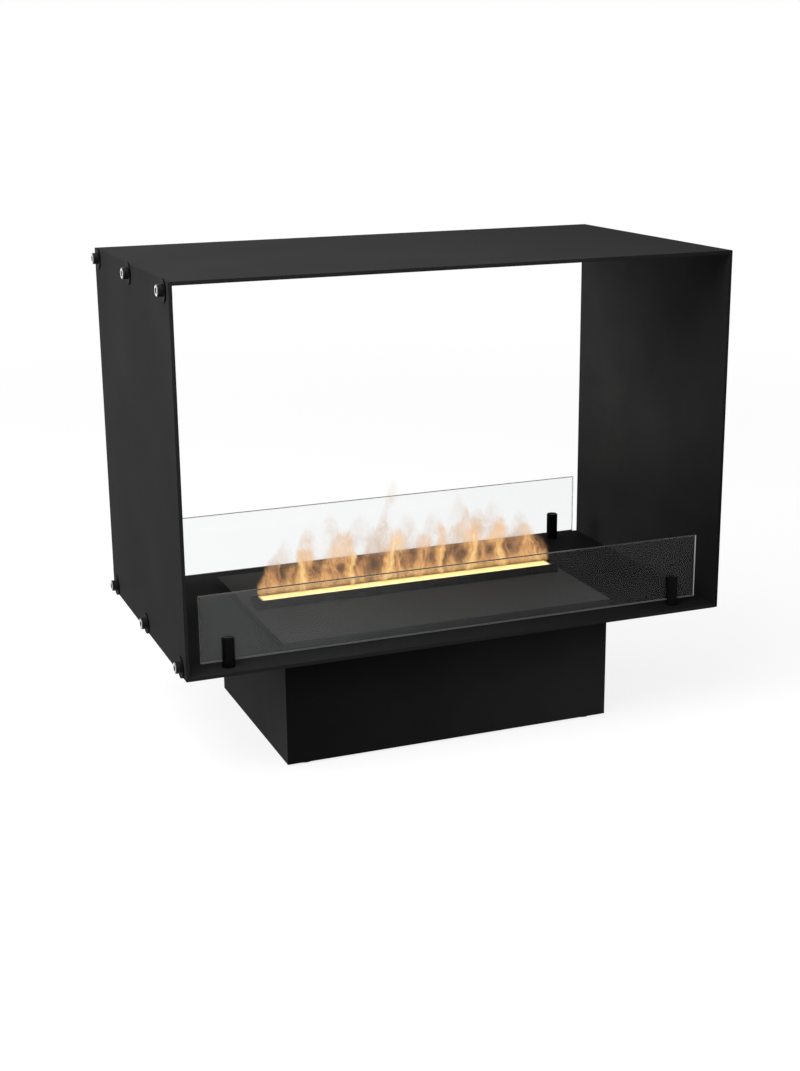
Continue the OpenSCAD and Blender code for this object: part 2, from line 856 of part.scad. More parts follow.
module water_tank() {
  color("#b9cdd6", 0.6) difference() {
    union() {
      translate([tank_x, tank_y, 0]) slab(tank_w, tank_d, tank_h, casing_floor);
      translate([neck_x, tank_y, tank_top - cut]) cylinder(d = neck_d, h = neck_h + cut);
      translate([tank_x + tank_w / 2 - cut, tank_y, spigot_z]) rod_x(spigot_d, spigot_l + cut);
    }
    translate([tank_x, tank_y, 0])
      slab(tank_w - 2 * tank_t, tank_d - 2 * tank_t, tank_h - 2 * tank_t, casing_floor + tank_t);
    translate([neck_x, tank_y, tank_top - tank_t - cut])
      cylinder(d = neck_d - 2 * neck_t, h = tank_t + neck_h + 2 * cut);
    translate([tank_x + tank_w / 2 - tank_t - cut, tank_y, spigot_z])
      rod_x(spigot_bore, tank_t + spigot_l + 2 * cut);
  }
}

// Height of the filler neck's rim
function neck_top() = tank_top + neck_h;

module tank_cap() {
  z = neck_top() + cap_seal_t - cap_h + 3;
  color("#2f6fa8") translate([neck_x, tank_y, z]) difference() {
    union() {
      cylinder(d = cap_d - 3, h = cap_h);
      for (i = [0:cap_grips - 1]) rotate([0, 0, i * 360 / cap_grips])
        translate([cap_d / 2 - 3, -1.5, 0]) cube([3, 3, cap_h - 2]);
    }
    translate([0, 0, -cut]) cylinder(d = neck_d + 2 * cap_gap, h = cap_h - 3 + cut);
  }
}

module cap_seal() {
  color("#222222") translate([neck_x, tank_y, neck_top()]) difference() {
    cylinder(d = neck_d, h = cap_seal_t);
    translate([0, 0, -cut]) cylinder(d = neck_d - 3 * neck_t, h = cap_seal_t + 2 * cut);
  }
}

module feed_valve() {
  color("#d8d8d2") translate([valve_x, tank_y, casing_floor]) difference() {
    union() {
      slab(valve_w, valve_w, valve_h);
      translate([0, 0, valve_h]) cylinder(d = coil_d, h = coil_h);
      translate([0, 0, spigot_z - casing_floor]) {
        rod_x(spigot_d, spigot_l + cut, -valve_w / 2 - spigot_l);
        rod_y(spigot_d, spigot_l + cut, valve_w / 2 - cut);
      }
    }
    translate([0, 0, spigot_z - casing_floor]) {
      rod_x(spigot_bore, valve_w / 2 + spigot_l + cut, -valve_w / 2 - spigot_l - cut);
      rod_y(spigot_bore, valve_w / 2 + spigot_l + cut);
    }
  }
}

// Hose bore and outer diameter
hose_bore = spigot_d + 2 * hose_fit;
hose_d = hose_bore + 2 * hose_t;

module tank_hose() {
  x0 = tank_x + tank_w / 2;
  l = valve_x - valve_w / 2 - x0;
  color("#c7cfcf") translate([x0, tank_y, spigot_z]) difference() {
    rod_x(hose_d, l);
    rod_x(hose_bore, l + 2 * cut, -cut);
  }
}

module basin_hose() {
  y0 = tank_y + valve_w / 2;
  l = -basin_d / 2 - y0;
  color("#c7cfcf") translate([valve_x, 0, spigot_z]) difference() {
    rod_y(hose_d, l, y0);
    rod_y(hose_bore, l + 2 * cut, y0 - cut);
  }
}

// Square fan housing with two flanges, spokes and a spindle
module fan_housing() {
  difference() {
    union() {
      linear_extrude(fan_plate) round_square(fan_w, fan_w, 5);
      translate([0, 0, fan_h - fan_plate]) linear_extrude(fan_plate) round_square(fan_w, fan_w, 5);
      cylinder(d = fan_w, h = fan_h);
    }
    translate([0, 0, -cut]) cylinder(d = fan_bore, h = fan_h + 2 * cut);
    corners(fan_hole, fan_hole) translate([0, 0, -cut]) cylinder(d = fan_hole_d, h = fan_h + 2 * cut);
  }
  cylinder(d = hub_d, h = 3);
  for (a = [45:90:315]) rotate([0, 0, a]) translate([0, -2, 0]) cube([fan_bore / 2 + 0.5, 4, 3]);
  cylinder(d = spindle_d, h = fan_h - 6);
}

// Fan rotor with pitched blades around a hub
module fan_rotor() {
  h = fan_h - rotor_z - rotor_top_gap;
  tip = fan_bore - 2 * tip_gap;
  translate([0, 0, rotor_z]) difference() {
    union() {
      cylinder(d = hub_d, h = h);
      intersection() {
        cylinder(d = tip, h = h);
        for (i = [0:blade_count - 1]) rotate([0, 0, i * 360 / blade_count])
          translate([hub_d / 2 - 1, 0, h / 2]) rotate([90 - blade_pitch, 0, 0])
            translate([0, -h, -blade_t / 2]) cube([fan_w / 2, 2 * h, blade_t]);
      }
    }
    translate([0, 0, -cut]) cylinder(d = spindle_d + 2 * spindle_play, h = h - 2 + cut);
  }
}

module left_fan_housing() {
  color("#1c1c1c") translate([-fan_x, fan_y, casing_floor]) fan_housing();
}

module left_fan_rotor() {
  color("#333333") translate([-fan_x, fan_y, casing_floor]) fan_rotor();
}

module right_fan_housing() {
  color("#1c1c1c") translate([fan_x, fan_y, casing_floor]) fan_housing();
}

module right_fan_rotor() {
  color("#333333") translate([fan_x, fan_y, casing_floor]) fan_rotor();
}

module fan_screws() {
  color("silver") for (s = [-1, 1]) translate([s * fan_x, fan_y, 0]) corners(fan_hole, fan_hole) {
    translate([0, 0, casing_floor]) cylinder(d = fan_screw_d, h = fan_h);
    translate([0, 0, casing_floor + fan_h]) cylinder(d = 6, h = 2);
  }
}

module control_board() {
  color("#1f5a35") translate([0, board_y, 0]) difference() {
    slab(board_w, board_d, board_t, board_z);
    corners(board_w / 2 - board_hole, board_d / 2 - board_hole) translate([0, 0, board_z - cut])
      cylinder(d = 3.2, h = board_t + 2 * cut);
  }
}

module board_standoffs() {
  color("#c8a850") translate([0, board_y, casing_floor])
    corners(board_w / 2 - board_hole, board_d / 2 - board_hole) {
      cylinder(d = standoff_d, h = standoff_h);
      cylinder(d = 3, h = standoff_h + board_t + 1);
      translate([0, 0, standoff_h + board_t]) cylinder(d = standoff_d, h = 2);
    }
}

// Relays, capacitors, heat sink and terminals on the control board
module board_parts() {
  z = board_z + board_t;
  color("#3b3f46") translate([0, board_y, z]) {
    for (s = [-0.6, 0.6]) translate([s * relay_w - relay_x, -relay_y, 0]) slab(relay_w, relay_d, relay_w);
    for (i = [-1:1]) translate([can_x + i * can_pitch, -can_y, 0]) cylinder(d = can_d, h = can_h);
    translate([0, terminal_y, 0]) slab(terminal_w, terminal_d, terminal_h);
    translate([-chip_x, row_y, 0]) slab(chip_w, chip_w, chip_h);
    translate([sink_x, row_y, 0]) heat_sink();
  }
}

// Comb of upright fins on a common foot
module heat_sink() {
  slab(sink_w, sink_d, sink_foot);
  for (i = [-3:3]) translate([i * fin_pitch, 0, 0]) slab(fin_t, sink_d, sink_h);
}

module power_supply() {
  slots = 9;
  color("#a9adb0") translate([psu_x, 0, floor_top]) difference() {
    slab(psu_w, psu_d, psu_h);
    for (i = [0:slots - 1], s = [-1, 1])
      translate([(i - (slots - 1) / 2) * 12 - 2, s * psu_d / 4 - 15, psu_h - 2]) cube([4, 30, 2 + cut]);
  }
}

// Outline of the inlet's socket: a rectangle with two cut corners
module socket_outline() {
  c = 4;
  w = socket_w / 2;
  h = socket_h / 2;
  polygon([[-w, -h], [w, -h], [w, h - c], [w - c, h], [-w + c, h], [-w, h - c]]);
}

module power_inlet() {
  color("#161616") translate([inlet_x, wall_y, inlet_z]) difference() {
    union() {
      translate([-inlet_w / 2, 0, -inlet_h / 2]) cube([inlet_w, inlet_flange_t, inlet_h]);
      translate([-inlet_body_w / 2, -inlet_depth, -inlet_body_h / 2])
        cube([inlet_body_w, inlet_depth + cut, inlet_body_h]);
    }
    translate([0, inlet_flange_t + cut, 0]) rotate([90, 0, 0])
      linear_extrude(inlet_depth + inlet_flange_t - 2 + cut) socket_outline();
    for (s = [-1, 1]) translate([s * inlet_screw_x, 0, 0])
      rod_y(inlet_screw_d + 2 * hole_gap, inlet_flange_t + 2 * cut, -cut);
  }
}

module inlet_pins() {
  l = 12;
  color("#d0d0c8") translate([inlet_x, wall_y - inlet_depth + 2, inlet_z])
    for (i = [-1:1]) translate([i * pin_pitch - 1, 0, i == 0 ? 0 : -3]) cube([2, l, 4]);
}

module inlet_screws() {
  color("silver") translate([inlet_x, wall_y + inlet_flange_t, inlet_z])
    for (s = [-1, 1]) translate([s * inlet_screw_x, 0, 0]) {
      rod_y(inlet_screw_d, inlet_flange_t + ped_t, -inlet_flange_t - ped_t);
      rod_y(2 * inlet_screw_d, 1.5);
    }
}

module switch_frame() {
  color("#141414") translate([switch_x, wall_y, inlet_z]) difference() {
    union() {
      translate([-bezel_w / 2, 0, -bezel_h / 2]) cube([bezel_w, bezel_t, bezel_h]);
      translate([-switch_body_w / 2, -switch_depth, -switch_body_h / 2])
        cube([switch_body_w, switch_depth + cut, switch_body_h]);
    }
    translate([-rocker_well_w / 2, bezel_t - rocker_well_depth, -rocker_well_h / 2])
      cube([rocker_well_w, rocker_well_depth + cut, rocker_well_h]);
    rod_x(rocker_pin_d + 2 * rocker_pin_play, switch_body_w - 1, 0.5 - switch_body_w / 2);
  }
}

module switch_rocker() {
  proud = 3.2;
  pin_l = switch_body_w - 1.2;
  color("#202020") translate([switch_x, wall_y, inlet_z]) rotate([rocker_tilt, 0, 0]) {
    along_x(rocker_w) polygon([[-3.5, -5], [proud, -rocker_h / 2], [proud - 0.9, 0],
                               [proud, rocker_h / 2], [-3.5, 5]]);
    rod_x(rocker_pin_d, pin_l, -pin_l / 2);
  }
}

// Place from front to rear where the supply cable rises through the casing
function supply_rise_y() = psu_d / 2 + 2 + supply_bend;

module cable_grommet() {
  color("#1b1b1b") translate([supply_x, supply_rise_y(), casing_z]) difference() {
    union() {
      cylinder(d = supply_d + 2 * grommet_flange - 0.2, h = casing_t);
      translate([0, 0, -grommet_flange / 2])
        cylinder(d = supply_d + 4 * grommet_flange, h = grommet_flange / 2);
    }
    translate([0, 0, -cut - grommet_flange]) cylinder(d = supply_d + 0.2, h = 10);
  }
}

module mains_cable() {
  x0 = psu_x + psu_w / 2;
  y0 = wall_y - inlet_depth;
  color("#111111") translate([0, 0, inlet_z]) {
    translate([inlet_x, 0, 0]) rod_y(mains_d, y0 - mains_y - mains_bend, mains_y + mains_bend);
    translate([inlet_x - mains_bend, mains_y + mains_bend, 0]) rotate([0, 0, -90])
      cable_bend(mains_bend, mains_d);
    translate([0, mains_y, 0]) rod_x(mains_d, inlet_x - mains_bend - x0, x0);
  }
}

module supply_cable() {
  z = floor_top + psu_h / 2;
  color("#8d1d1d") translate([supply_x, 0, 0]) {
    translate([0, 0, z]) rod_y(supply_d, 2, psu_d / 2);
    translate([0, psu_d / 2 + 2, z + supply_bend]) rotate([0, 90, 0])
      cable_bend(supply_bend, supply_d);
    translate([0, supply_rise_y(), z + supply_bend])
      cylinder(d = supply_d, h = board_z - z - supply_bend);
  }
}

top_panel();
base_panel();
left_side_panel();
right_side_panel();
left_side_bolts();
left_side_washers();
pedestal_shell();
pedestal_floor();
pedestal_screws();
floor_screws();
rubber_feet();
front_left_post();
front_right_post();
rear_left_post();
rear_right_post();
post_screws();
glass_pads();
front_glass();
rear_glass();
cover_plate();
slot_collar();
unit_casing();
casing_screws();
vapour_basin();
basin_fitting();
disc_seals();
ultrasonic_discs();
driver_board();
float_stem();
level_float();
mist_duct();
light_guide();
front_light_strip();
rear_light_strip();
lamp_chips();
water_tank();
tank_cap();
cap_seal();
feed_valve();
tank_hose();
basin_hose();
left_fan_housing();
left_fan_rotor();
right_fan_housing();
right_fan_rotor();
fan_screws();
control_board();
board_parts();
board_standoffs();
power_supply();
power_inlet();
inlet_pins();
inlet_screws();
switch_frame();
switch_rocker();
cable_grommet();
mains_cable();
supply_cable();
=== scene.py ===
import math

import bpy
import numpy as np
from mathutils import Matrix, Vector


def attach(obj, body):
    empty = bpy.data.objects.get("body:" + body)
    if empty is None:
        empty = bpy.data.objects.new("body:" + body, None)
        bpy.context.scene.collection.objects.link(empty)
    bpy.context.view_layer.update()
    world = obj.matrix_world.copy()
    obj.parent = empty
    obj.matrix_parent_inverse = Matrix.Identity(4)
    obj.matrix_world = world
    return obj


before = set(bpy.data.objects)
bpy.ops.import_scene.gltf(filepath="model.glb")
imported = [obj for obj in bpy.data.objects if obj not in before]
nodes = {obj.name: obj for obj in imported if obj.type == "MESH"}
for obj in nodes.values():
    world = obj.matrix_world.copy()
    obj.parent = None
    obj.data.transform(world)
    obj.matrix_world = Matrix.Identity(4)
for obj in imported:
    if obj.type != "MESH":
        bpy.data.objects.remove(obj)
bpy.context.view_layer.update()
scene = bpy.context.scene

# The camera, where the photograph was taken from

# Place in metres, turns in degrees
CAMERA_PLACE = (-0.8823, -2.2221, 0.9415)
CAMERA_AZIMUTH = -21.3542
CAMERA_ELEVATION = 15.7961
CAMERA_ROLL = -0.5676
# Focal length and image height in the photograph's pixels, and the sensor's long side in millimetres
FOCAL_PIXELS = 1668.85
IMAGE_HEIGHT = 1071
SENSOR = 36.0


def make_camera():
    """A camera at the photograph's viewing angle, with the sensor's long side along the image's."""
    az, el, roll = (math.radians(a) for a in (CAMERA_AZIMUTH, CAMERA_ELEVATION, CAMERA_ROLL))
    back = Vector((math.sin(az) * math.cos(el), -math.cos(az) * math.cos(el), math.sin(el)))
    right = Vector((math.cos(az), math.sin(az), 0))
    up = back.cross(right)
    right, up = (right * math.cos(roll) + up * math.sin(roll),
                 up * math.cos(roll) - right * math.sin(roll))
    data = bpy.data.cameras.new("camera")
    data.sensor_width = SENSOR
    data.lens = FOCAL_PIXELS * SENSOR / IMAGE_HEIGHT
    camera = bpy.data.objects.new("camera", data)
    scene.collection.objects.link(camera)
    turn = Matrix((right, up, back)).transposed().to_4x4()
    camera.matrix_world = Matrix.Translation(CAMERA_PLACE) @ turn
    scene.camera = camera


make_camera()

# Short ways to make shader nodes


def new_material(name):
    """A new node material, with its node tree and its main shader."""
    material = bpy.data.materials.new(name)
    material.use_nodes = True
    tree = material.node_tree
    return material, tree, tree.nodes["Principled BSDF"]


def plug(tree, value, socket):
    """Sets a socket to a plain value, or links another socket to it."""
    if isinstance(value, bpy.types.NodeSocket):
        tree.links.new(value, socket)
    elif hasattr(value, "__len__") and len(value) == 3 and socket.type == "RGBA":
        socket.default_value = (*value, 1.0)
    else:
        socket.default_value = value


def coords(tree, stretch=(1, 1, 1)):
    """Places on the part in metres, stretched along X, Y and Z."""
    place = tree.nodes.new("ShaderNodeTexCoord")
    mapping = tree.nodes.new("ShaderNodeMapping")
    mapping.inputs["Scale"].default_value = stretch
    tree.links.new(place.outputs["Object"], mapping.inputs["Vector"])
    return mapping.outputs["Vector"]


def axes(tree):
    """Places on the part in metres, as X, Y and Z."""
    split = tree.nodes.new("ShaderNodeSeparateXYZ")
    plug(tree, coords(tree), split.inputs["Vector"])
    return split.outputs


def noise(tree, vector, scale, detail=3.0, roughness=0.55, distortion=0.0):
    """Smooth noise from 0 to 1. Its scale is in waves per metre."""
    node = tree.nodes.new("ShaderNodeTexNoise")
    plug(tree, vector, node.inputs["Vector"])
    node.inputs["Scale"].default_value = scale
    node.inputs["Detail"].default_value = detail
    node.inputs["Roughness"].default_value = roughness
    node.inputs["Distortion"].default_value = distortion
    return node.outputs["Fac"]


def spread(tree, value, low, high, start=0.3, stop=0.7):
    """Maps start to stop onto low to high, and holds the ends beyond them."""
    node = tree.nodes.new("ShaderNodeMapRange")
    plug(tree, value, node.inputs["Value"])
    node.inputs["From Min"].default_value = start
    node.inputs["From Max"].default_value = stop
    node.inputs["To Min"].default_value = low
    node.inputs["To Max"].default_value = high
    return node.outputs["Result"]


def calc(tree, operation, a, b=0.0, clamp=False):
    """One step of arithmetic on plain values or sockets."""
    node = tree.nodes.new("ShaderNodeMath")
    node.operation = operation
    node.use_clamp = clamp
    plug(tree, a, node.inputs[0])
    plug(tree, b, node.inputs[1])
    return node.outputs["Value"]


# The Mix node has a set of sockets for each kind of value, and these are the ones in use
MIX_FACTOR = 0
MIX_NUMBERS = 2, 3
MIX_COLOURS = 6, 7
MIX_NUMBER_OUT = 0
MIX_COLOUR_OUT = 2


def mix_colour(tree, factor, a, b):
    """Colour a where the factor is 0, and b where it is 1."""
    node = tree.nodes.new("ShaderNodeMix")
    node.data_type = "RGBA"
    plug(tree, factor, node.inputs[MIX_FACTOR])
    for value, socket in zip((a, b), MIX_COLOURS):
        plug(tree, value, node.inputs[socket])
    return node.outputs[MIX_COLOUR_OUT]


def scaled(tree, vector, factor):
    """A vector or colour times a number."""
    node = tree.nodes.new("ShaderNodeVectorMath")
    node.operation = "SCALE"
    plug(tree, vector, node.inputs[0])
    plug(tree, factor, node.inputs["Scale"])
    return node.outputs["Vector"]


def mix_surfaces(tree, factor, a, b):
    """Makes the material's surface a where the factor is 0, and b where it is 1."""
    both = tree.nodes.new("ShaderNodeMixShader")
    plug(tree, factor, both.inputs["Fac"])
    plug(tree, a, both.inputs[1])
    plug(tree, b, both.inputs[2])
    plug(tree, both.outputs["Shader"], tree.nodes["Material Output"].inputs["Surface"])


def ramp(tree, value, stops):
    """Colours along 0 to 1, as (place, colour) pairs."""
    node = tree.nodes.new("ShaderNodeValToRGB")
    elements = node.color_ramp.elements
    while len(elements) < len(stops):
        elements.new(0.5)
    for element, (place, colour) in zip(elements, stops):
        element.position = place
        element.color = (*colour, 1.0)
    plug(tree, value, node.inputs["Fac"])
    return node.outputs["Color"]


def bump(tree, height, strength, distance):
    """Relief from a height, with its depth in metres."""
    node = tree.nodes.new("ShaderNodeBump")
    node.inputs["Strength"].default_value = strength
    node.inputs["Distance"].default_value = distance
    plug(tree, height, node.inputs["Height"])
    return node.outputs["Normal"]


def facing(tree, axis):
    """The surface's direction along one axis of the part, from -1 to 1."""
    place = tree.nodes.new("ShaderNodeTexCoord")
    split = tree.nodes.new("ShaderNodeSeparateXYZ")
    plug(tree, place.outputs["Normal"], split.inputs["Vector"])
    return split.outputs[axis]


def seen(tree):
    """1 for what the camera sees, also in gloss and through glass, and 0 for what lights other surfaces."""
    path = tree.nodes.new("ShaderNodeLightPath")
    direct = calc(tree, "MAXIMUM", path.outputs["Is Camera Ray"], path.outputs["Is Glossy Ray"])
    return calc(tree, "MAXIMUM", direct, path.outputs["Is Transmission Ray"])


# Materials

# Places on the part where looks change, in metres: the end faces of the side bolts, the lower edge of the
# panes and the stretch of it where its painted highlight at the left corner ends, and the foot and top of
# the light guide
BOLT_FACE = -0.4095
GLASS_FOOT = 0.181
GLASS_CORNER = -0.37, -0.34
GUIDE_FOOT = 0.165
GUIDE_TOP = 0.1955
# Distance between two lamps under the light guide
LAMP_PITCH = 0.02363
# Share of the fine grain in a finish, beside its soft patches
GRAIN_SHARE = 0.35


def finish(name, dark, light, roughness, patch, grain, relief, depth=0.0003, specular=0.5, metallic=0.0):
    """A finish with soft patches and a fine grain in colour and gloss, and a grain in relief."""
    material, tree, shader = new_material(name)
    vector = coords(tree)
    patches = calc(tree, "MULTIPLY", noise(tree, vector, patch, 4.0), 1 - GRAIN_SHARE)
    fine = noise(tree, vector, grain, 2.0)
    both = calc(tree, "ADD", patches, calc(tree, "MULTIPLY", fine, GRAIN_SHARE))
    plug(tree, ramp(tree, both, [(0.34, dark), (0.66, light)]), shader.inputs["Base Color"])
    plug(tree, spread(tree, both, *roughness), shader.inputs["Roughness"])
    plug(tree, bump(tree, fine, relief, depth), shader.inputs["Normal"])
    shader.inputs["Specular IOR Level"].default_value = specular
    shader.inputs["Metallic"].default_value = metallic
    return material


def galvanised_material():
    """Zinc-coated sheet: flat crystals of slightly different brightness."""
    material, tree, shader = new_material("galvanised")
    vector = coords(tree)
    # Crystals of about 9 mm with uneven edges
    wobble = tree.nodes.new("ShaderNodeTexNoise")
    wobble.inputs["Scale"].default_value = 60
    plug(tree, vector, wobble.inputs["Vector"])
    uneven = tree.nodes.new("ShaderNodeVectorMath")
    uneven.operation = "ADD"
    plug(tree, vector, uneven.inputs[0])
    plug(tree, scaled(tree, wobble.outputs["Color"], 0.012), uneven.inputs[1])
    cells = tree.nodes.new("ShaderNodeTexVoronoi")
    cells.inputs["Scale"].default_value = 110
    plug(tree, uneven.outputs["Vector"], cells.inputs["Vector"])
    crystal = tree.nodes.new("ShaderNodeRGBToBW")
    plug(tree, cells.outputs["Color"], crystal.inputs["Color"])
    zinc = ramp(tree, crystal.outputs["Val"], [(0.2, (0.33, 0.34, 0.35)), (0.8, (0.5, 0.51, 0.52))])
    plug(tree, zinc, shader.inputs["Base Color"])
    plug(tree, spread(tree, crystal.outputs["Val"], 0.34, 0.52, 0.2, 0.8), shader.inputs["Roughness"])
    plug(tree, bump(tree, noise(tree, vector, 700.0), 0.05, 0.0003), shader.inputs["Normal"])
    shader.inputs["Metallic"].default_value = 0.9
    return material


def board_material(name, mask, copper):
    """A circuit board: solder mask with tracks under it."""
    material, tree, shader = new_material(name)
    vector = coords(tree, (1, 1, 0.2))
    # Lines of track 4 mm apart, with gaps in them
    track = tree.nodes.new("ShaderNodeTexBrick")
    plug(tree, vector, track.inputs["Vector"])
    track.inputs["Scale"].default_value = 110
    track.inputs["Mortar Size"].default_value = 0.035
    track.inputs["Mortar Smooth"].default_value = 0.2
    track.inputs["Brick Width"].default_value = 1.7
    track.inputs["Row Height"].default_value = 0.45
    covered = spread(tree, noise(tree, vector, 45.0), 0.0, 1.0, 0.45, 0.52)
    blend = calc(tree, "MULTIPLY", track.outputs["Fac"], covered)
    plug(tree, mix_colour(tree, blend, mask, copper), shader.inputs["Base Color"])
    plug(tree, spread(tree, noise(tree, vector, 300.0), 0.22, 0.4), shader.inputs["Roughness"])
    plug(tree, bump(tree, blend, 0.25, 0.00004), shader.inputs["Normal"])
    return material


def glass_material():
    """Clear float glass with ground edges, partly in painted highlight and shade. The front pane has a
    faint pale veil of painted light on its left part.
    """
    material, tree, shader = new_material("clear_glass")
    film = noise(tree, coords(tree), 14.0)
    place = axes(tree)
    # Where the ground edges are: by the surface's direction, and for the lower edge by its height
    lowest = spread(tree, place["Z"], 1.0, 0.0, GLASS_FOOT + 0.0008, GLASS_FOOT + 0.002)
    edge = spread(tree, calc(tree, "ABSOLUTE", facing(tree, "Y")), 1.0, 0.0, 0.75, 0.96)
    edge = calc(tree, "MAXIMUM", edge, lowest)
    # Grey upper edges, white ends that are partly painted highlight, and a lower edge in painted shade with
    # a painted highlight at its left corner only
    end = spread(tree, calc(tree, "ABSOLUTE", facing(tree, "X")), 0.0, 1.0, 0.7, 0.95)
    ground = mix_colour(tree, end, (0.125, 0.112, 0.094), (0.95, 0.95, 0.93))
    # Painted shade on the lower edge, left out at its left corner, where a painted highlight stays
    lower_edge_shade = calc(tree, "MULTIPLY", lowest, spread(tree, place["X"], 0.0, 0.85, *GLASS_CORNER))
    ground = mix_colour(tree, lower_edge_shade, ground, (0.012, 0.012, 0.011))
    clean = mix_colour(tree, spread(tree, film, 0.0, 1.0), (0.91, 0.925, 0.928), (0.92, 0.932, 0.933))
    plug(tree, mix_colour(tree, edge, clean, ground), shader.inputs["Base Color"])
    # Edges let less light through, and so does the pale veil of painted light on the front pane
    through = calc(tree, "SUBTRACT", spread(tree, edge, 1.0, 0.5, 0.0, 1.0),
                   calc(tree, "MULTIPLY", lowest, 0.47))
    # A pale veil of painted light over the left part of the front pane
    front = spread(tree, place["Y"], 1.0, 0.0, -0.1, 0.1)
    painted_veil = calc(tree, "MULTIPLY", front, spread(tree, place["X"], 0.05, 0.0, -0.36, 0.05))
    painted_veil = calc(tree, "MULTIPLY", painted_veil, spread(tree, film, 0.85, 1.1))
    plug(tree, calc(tree, "SUBTRACT", through, painted_veil, clamp=True), shader.inputs["Transmission Weight"])
    shader.inputs["IOR"].default_value = 1.17
    plug(tree, calc(tree, "MULTIPLY", edge, 0.25), shader.inputs["Roughness"])
    # Lamps and light from other surfaces pass straight through
    clear = tree.nodes.new("ShaderNodeBsdfTransparent")
    clear.inputs["Color"].default_value = (0.93, 0.955, 0.95, 1)
    path = tree.nodes.new("ShaderNodeLightPath")
    lit = calc(tree, "MAXIMUM", path.outputs["Is Shadow Ray"], path.outputs["Is Diffuse Ray"])
    mix_surfaces(tree, lit, shader.outputs["BSDF"], clear.outputs["BSDF"])
    return material


# Tones of the frame's black coat, and the grain of every coated sheet
STEEL_TONES = (0.0235, 0.0236, 0.0238), (0.0335, 0.0335, 0.0332)
STEEL_GRAIN = {"roughness": (0.46, 0.56), "patch": 7.0, "grain": 1100.0, "relief": 0.06, "depth": 0.0002,
               "specular": 0.001}


def steel_with_painted_light(name, dark, light, painted_gradients, painted_edge_shade=None, painted_left_light=None):
    """Coated steel with painted light and shade: its colour grows slowly lighter or darker along some axes.

    Each gradient is (axis, start, stop, first, last): from first at start, in metres, to last at stop. A
    lying sheet may have upright edge faces in painted shade, and a box may have a left face lighter as
    painted light.
    """
    material = finish(name, dark, light, **STEEL_GRAIN)
    tree = material.node_tree
    base_colour = tree.nodes["Principled BSDF"].inputs["Base Color"]
    colour = base_colour.links[0].from_socket
    place = axes(tree)
    # Gradients of painted light and shade scale the coat's colour
    tone = 1.0
    for axis, start, stop, first, last in painted_gradients:
        tone = calc(tree, "MULTIPLY", tone, spread(tree, place[axis], first, last, start, stop))
    # A box's left face is made lighter, as painted light
    if painted_left_light is not None:
        left_light = spread(tree, facing(tree, "X"), painted_left_light, 1.0, -0.9, -0.6)
        tone = calc(tree, "MULTIPLY", tone, left_light)
    colour = scaled(tree, colour, tone)
    # A lying sheet's upright edge faces take a painted shade colour
    if painted_edge_shade is not None:
        upward = spread(tree, facing(tree, "Z"), 0.0, 1.0, 0.2, 0.8)
        colour = mix_colour(tree, upward, painted_edge_shade, colour)
    plug(tree, colour, base_colour)
    return material


def bolt_material():
    """Black oxide with an end face polished bright by the tool, outside the hexagon socket."""
    material, tree, shader = new_material("black_bolts")
    outermost = spread(tree, axes(tree)["X"], 1.0, 0.0, BOLT_FACE + 0.0003, BOLT_FACE + 0.0012)
    outward = spread(tree, facing(tree, "X"), 1.0, 0.0, -0.95, -0.6)
    grain = noise(tree, coords(tree, (1, 1, 4)), 900.0, 3.0)
    bare = calc(tree, "MULTIPLY", calc(tree, "MULTIPLY", outermost, outward), spread(tree, grain, 0.8, 1.0))
    black = ramp(tree, noise(tree, coords(tree), 260.0),
                 [(0.3, (0.006, 0.006, 0.0065)), (0.7, (0.014, 0.014, 0.015))])
    plug(tree, mix_colour(tree, bare, black, (0.72, 0.71, 0.69)), shader.inputs["Base Color"])
    plug(tree, bare, shader.inputs["Metallic"])
    plug(tree, spread(tree, bare, 0.45, 0.22, 0.0, 1.0), shader.inputs["Roughness"])
    plug(tree, bump(tree, grain, 0.12, 0.0001), shader.inputs["Normal"])
    shader.inputs["Specular IOR Level"].default_value = 0.12
    return material


def opal_material():
    """Opal plastic lit from inside, brighter in front of each lamp and darker on its upper rim."""
    material, tree, shader = new_material("opal_light")
    place = axes(tree)
    wave = calc(tree, "SINE", calc(tree, "MULTIPLY", place["X"], 2 * math.pi / LAMP_PITCH))
    cloud = noise(tree, coords(tree), 35.0, 2.0)
    glow = calc(tree, "ADD", calc(tree, "MULTIPLY", wave, 0.06), spread(tree, cloud, 0.9, 1.12))
    height = spread(tree, place["Z"], 1.1, 0.86, GUIDE_FOOT, GUIDE_TOP)
    rim = spread(tree, facing(tree, "Z"), 1.0, 0.3, 0.4, 0.8)
    strength = calc(tree, "MULTIPLY", calc(tree, "MULTIPLY", glow, height), rim)
    tone = ramp(tree, spread(tree, place["Z"], 0.0, 1.0, GUIDE_FOOT + 0.011, GUIDE_TOP),
                [(0.0, (0.97, 0.74, 0.3)), (0.7, (0.97, 0.8, 0.37)), (0.88, (0.97, 0.81, 0.38)),
                 (1.0, (0.93, 0.62, 0.22))])
    shader.inputs["Base Color"].default_value = (0.6, 0.54, 0.4, 1)
    shader.inputs["Roughness"].default_value = 0.4
    plug(tree, tone, shader.inputs["Emission Color"])
    plug(tree, strength, shader.inputs["Emission Strength"])
    plug(tree, bump(tree, noise(tree, coords(tree), 500.0), 0.05, 0.0002), shader.inputs["Normal"])
    return material


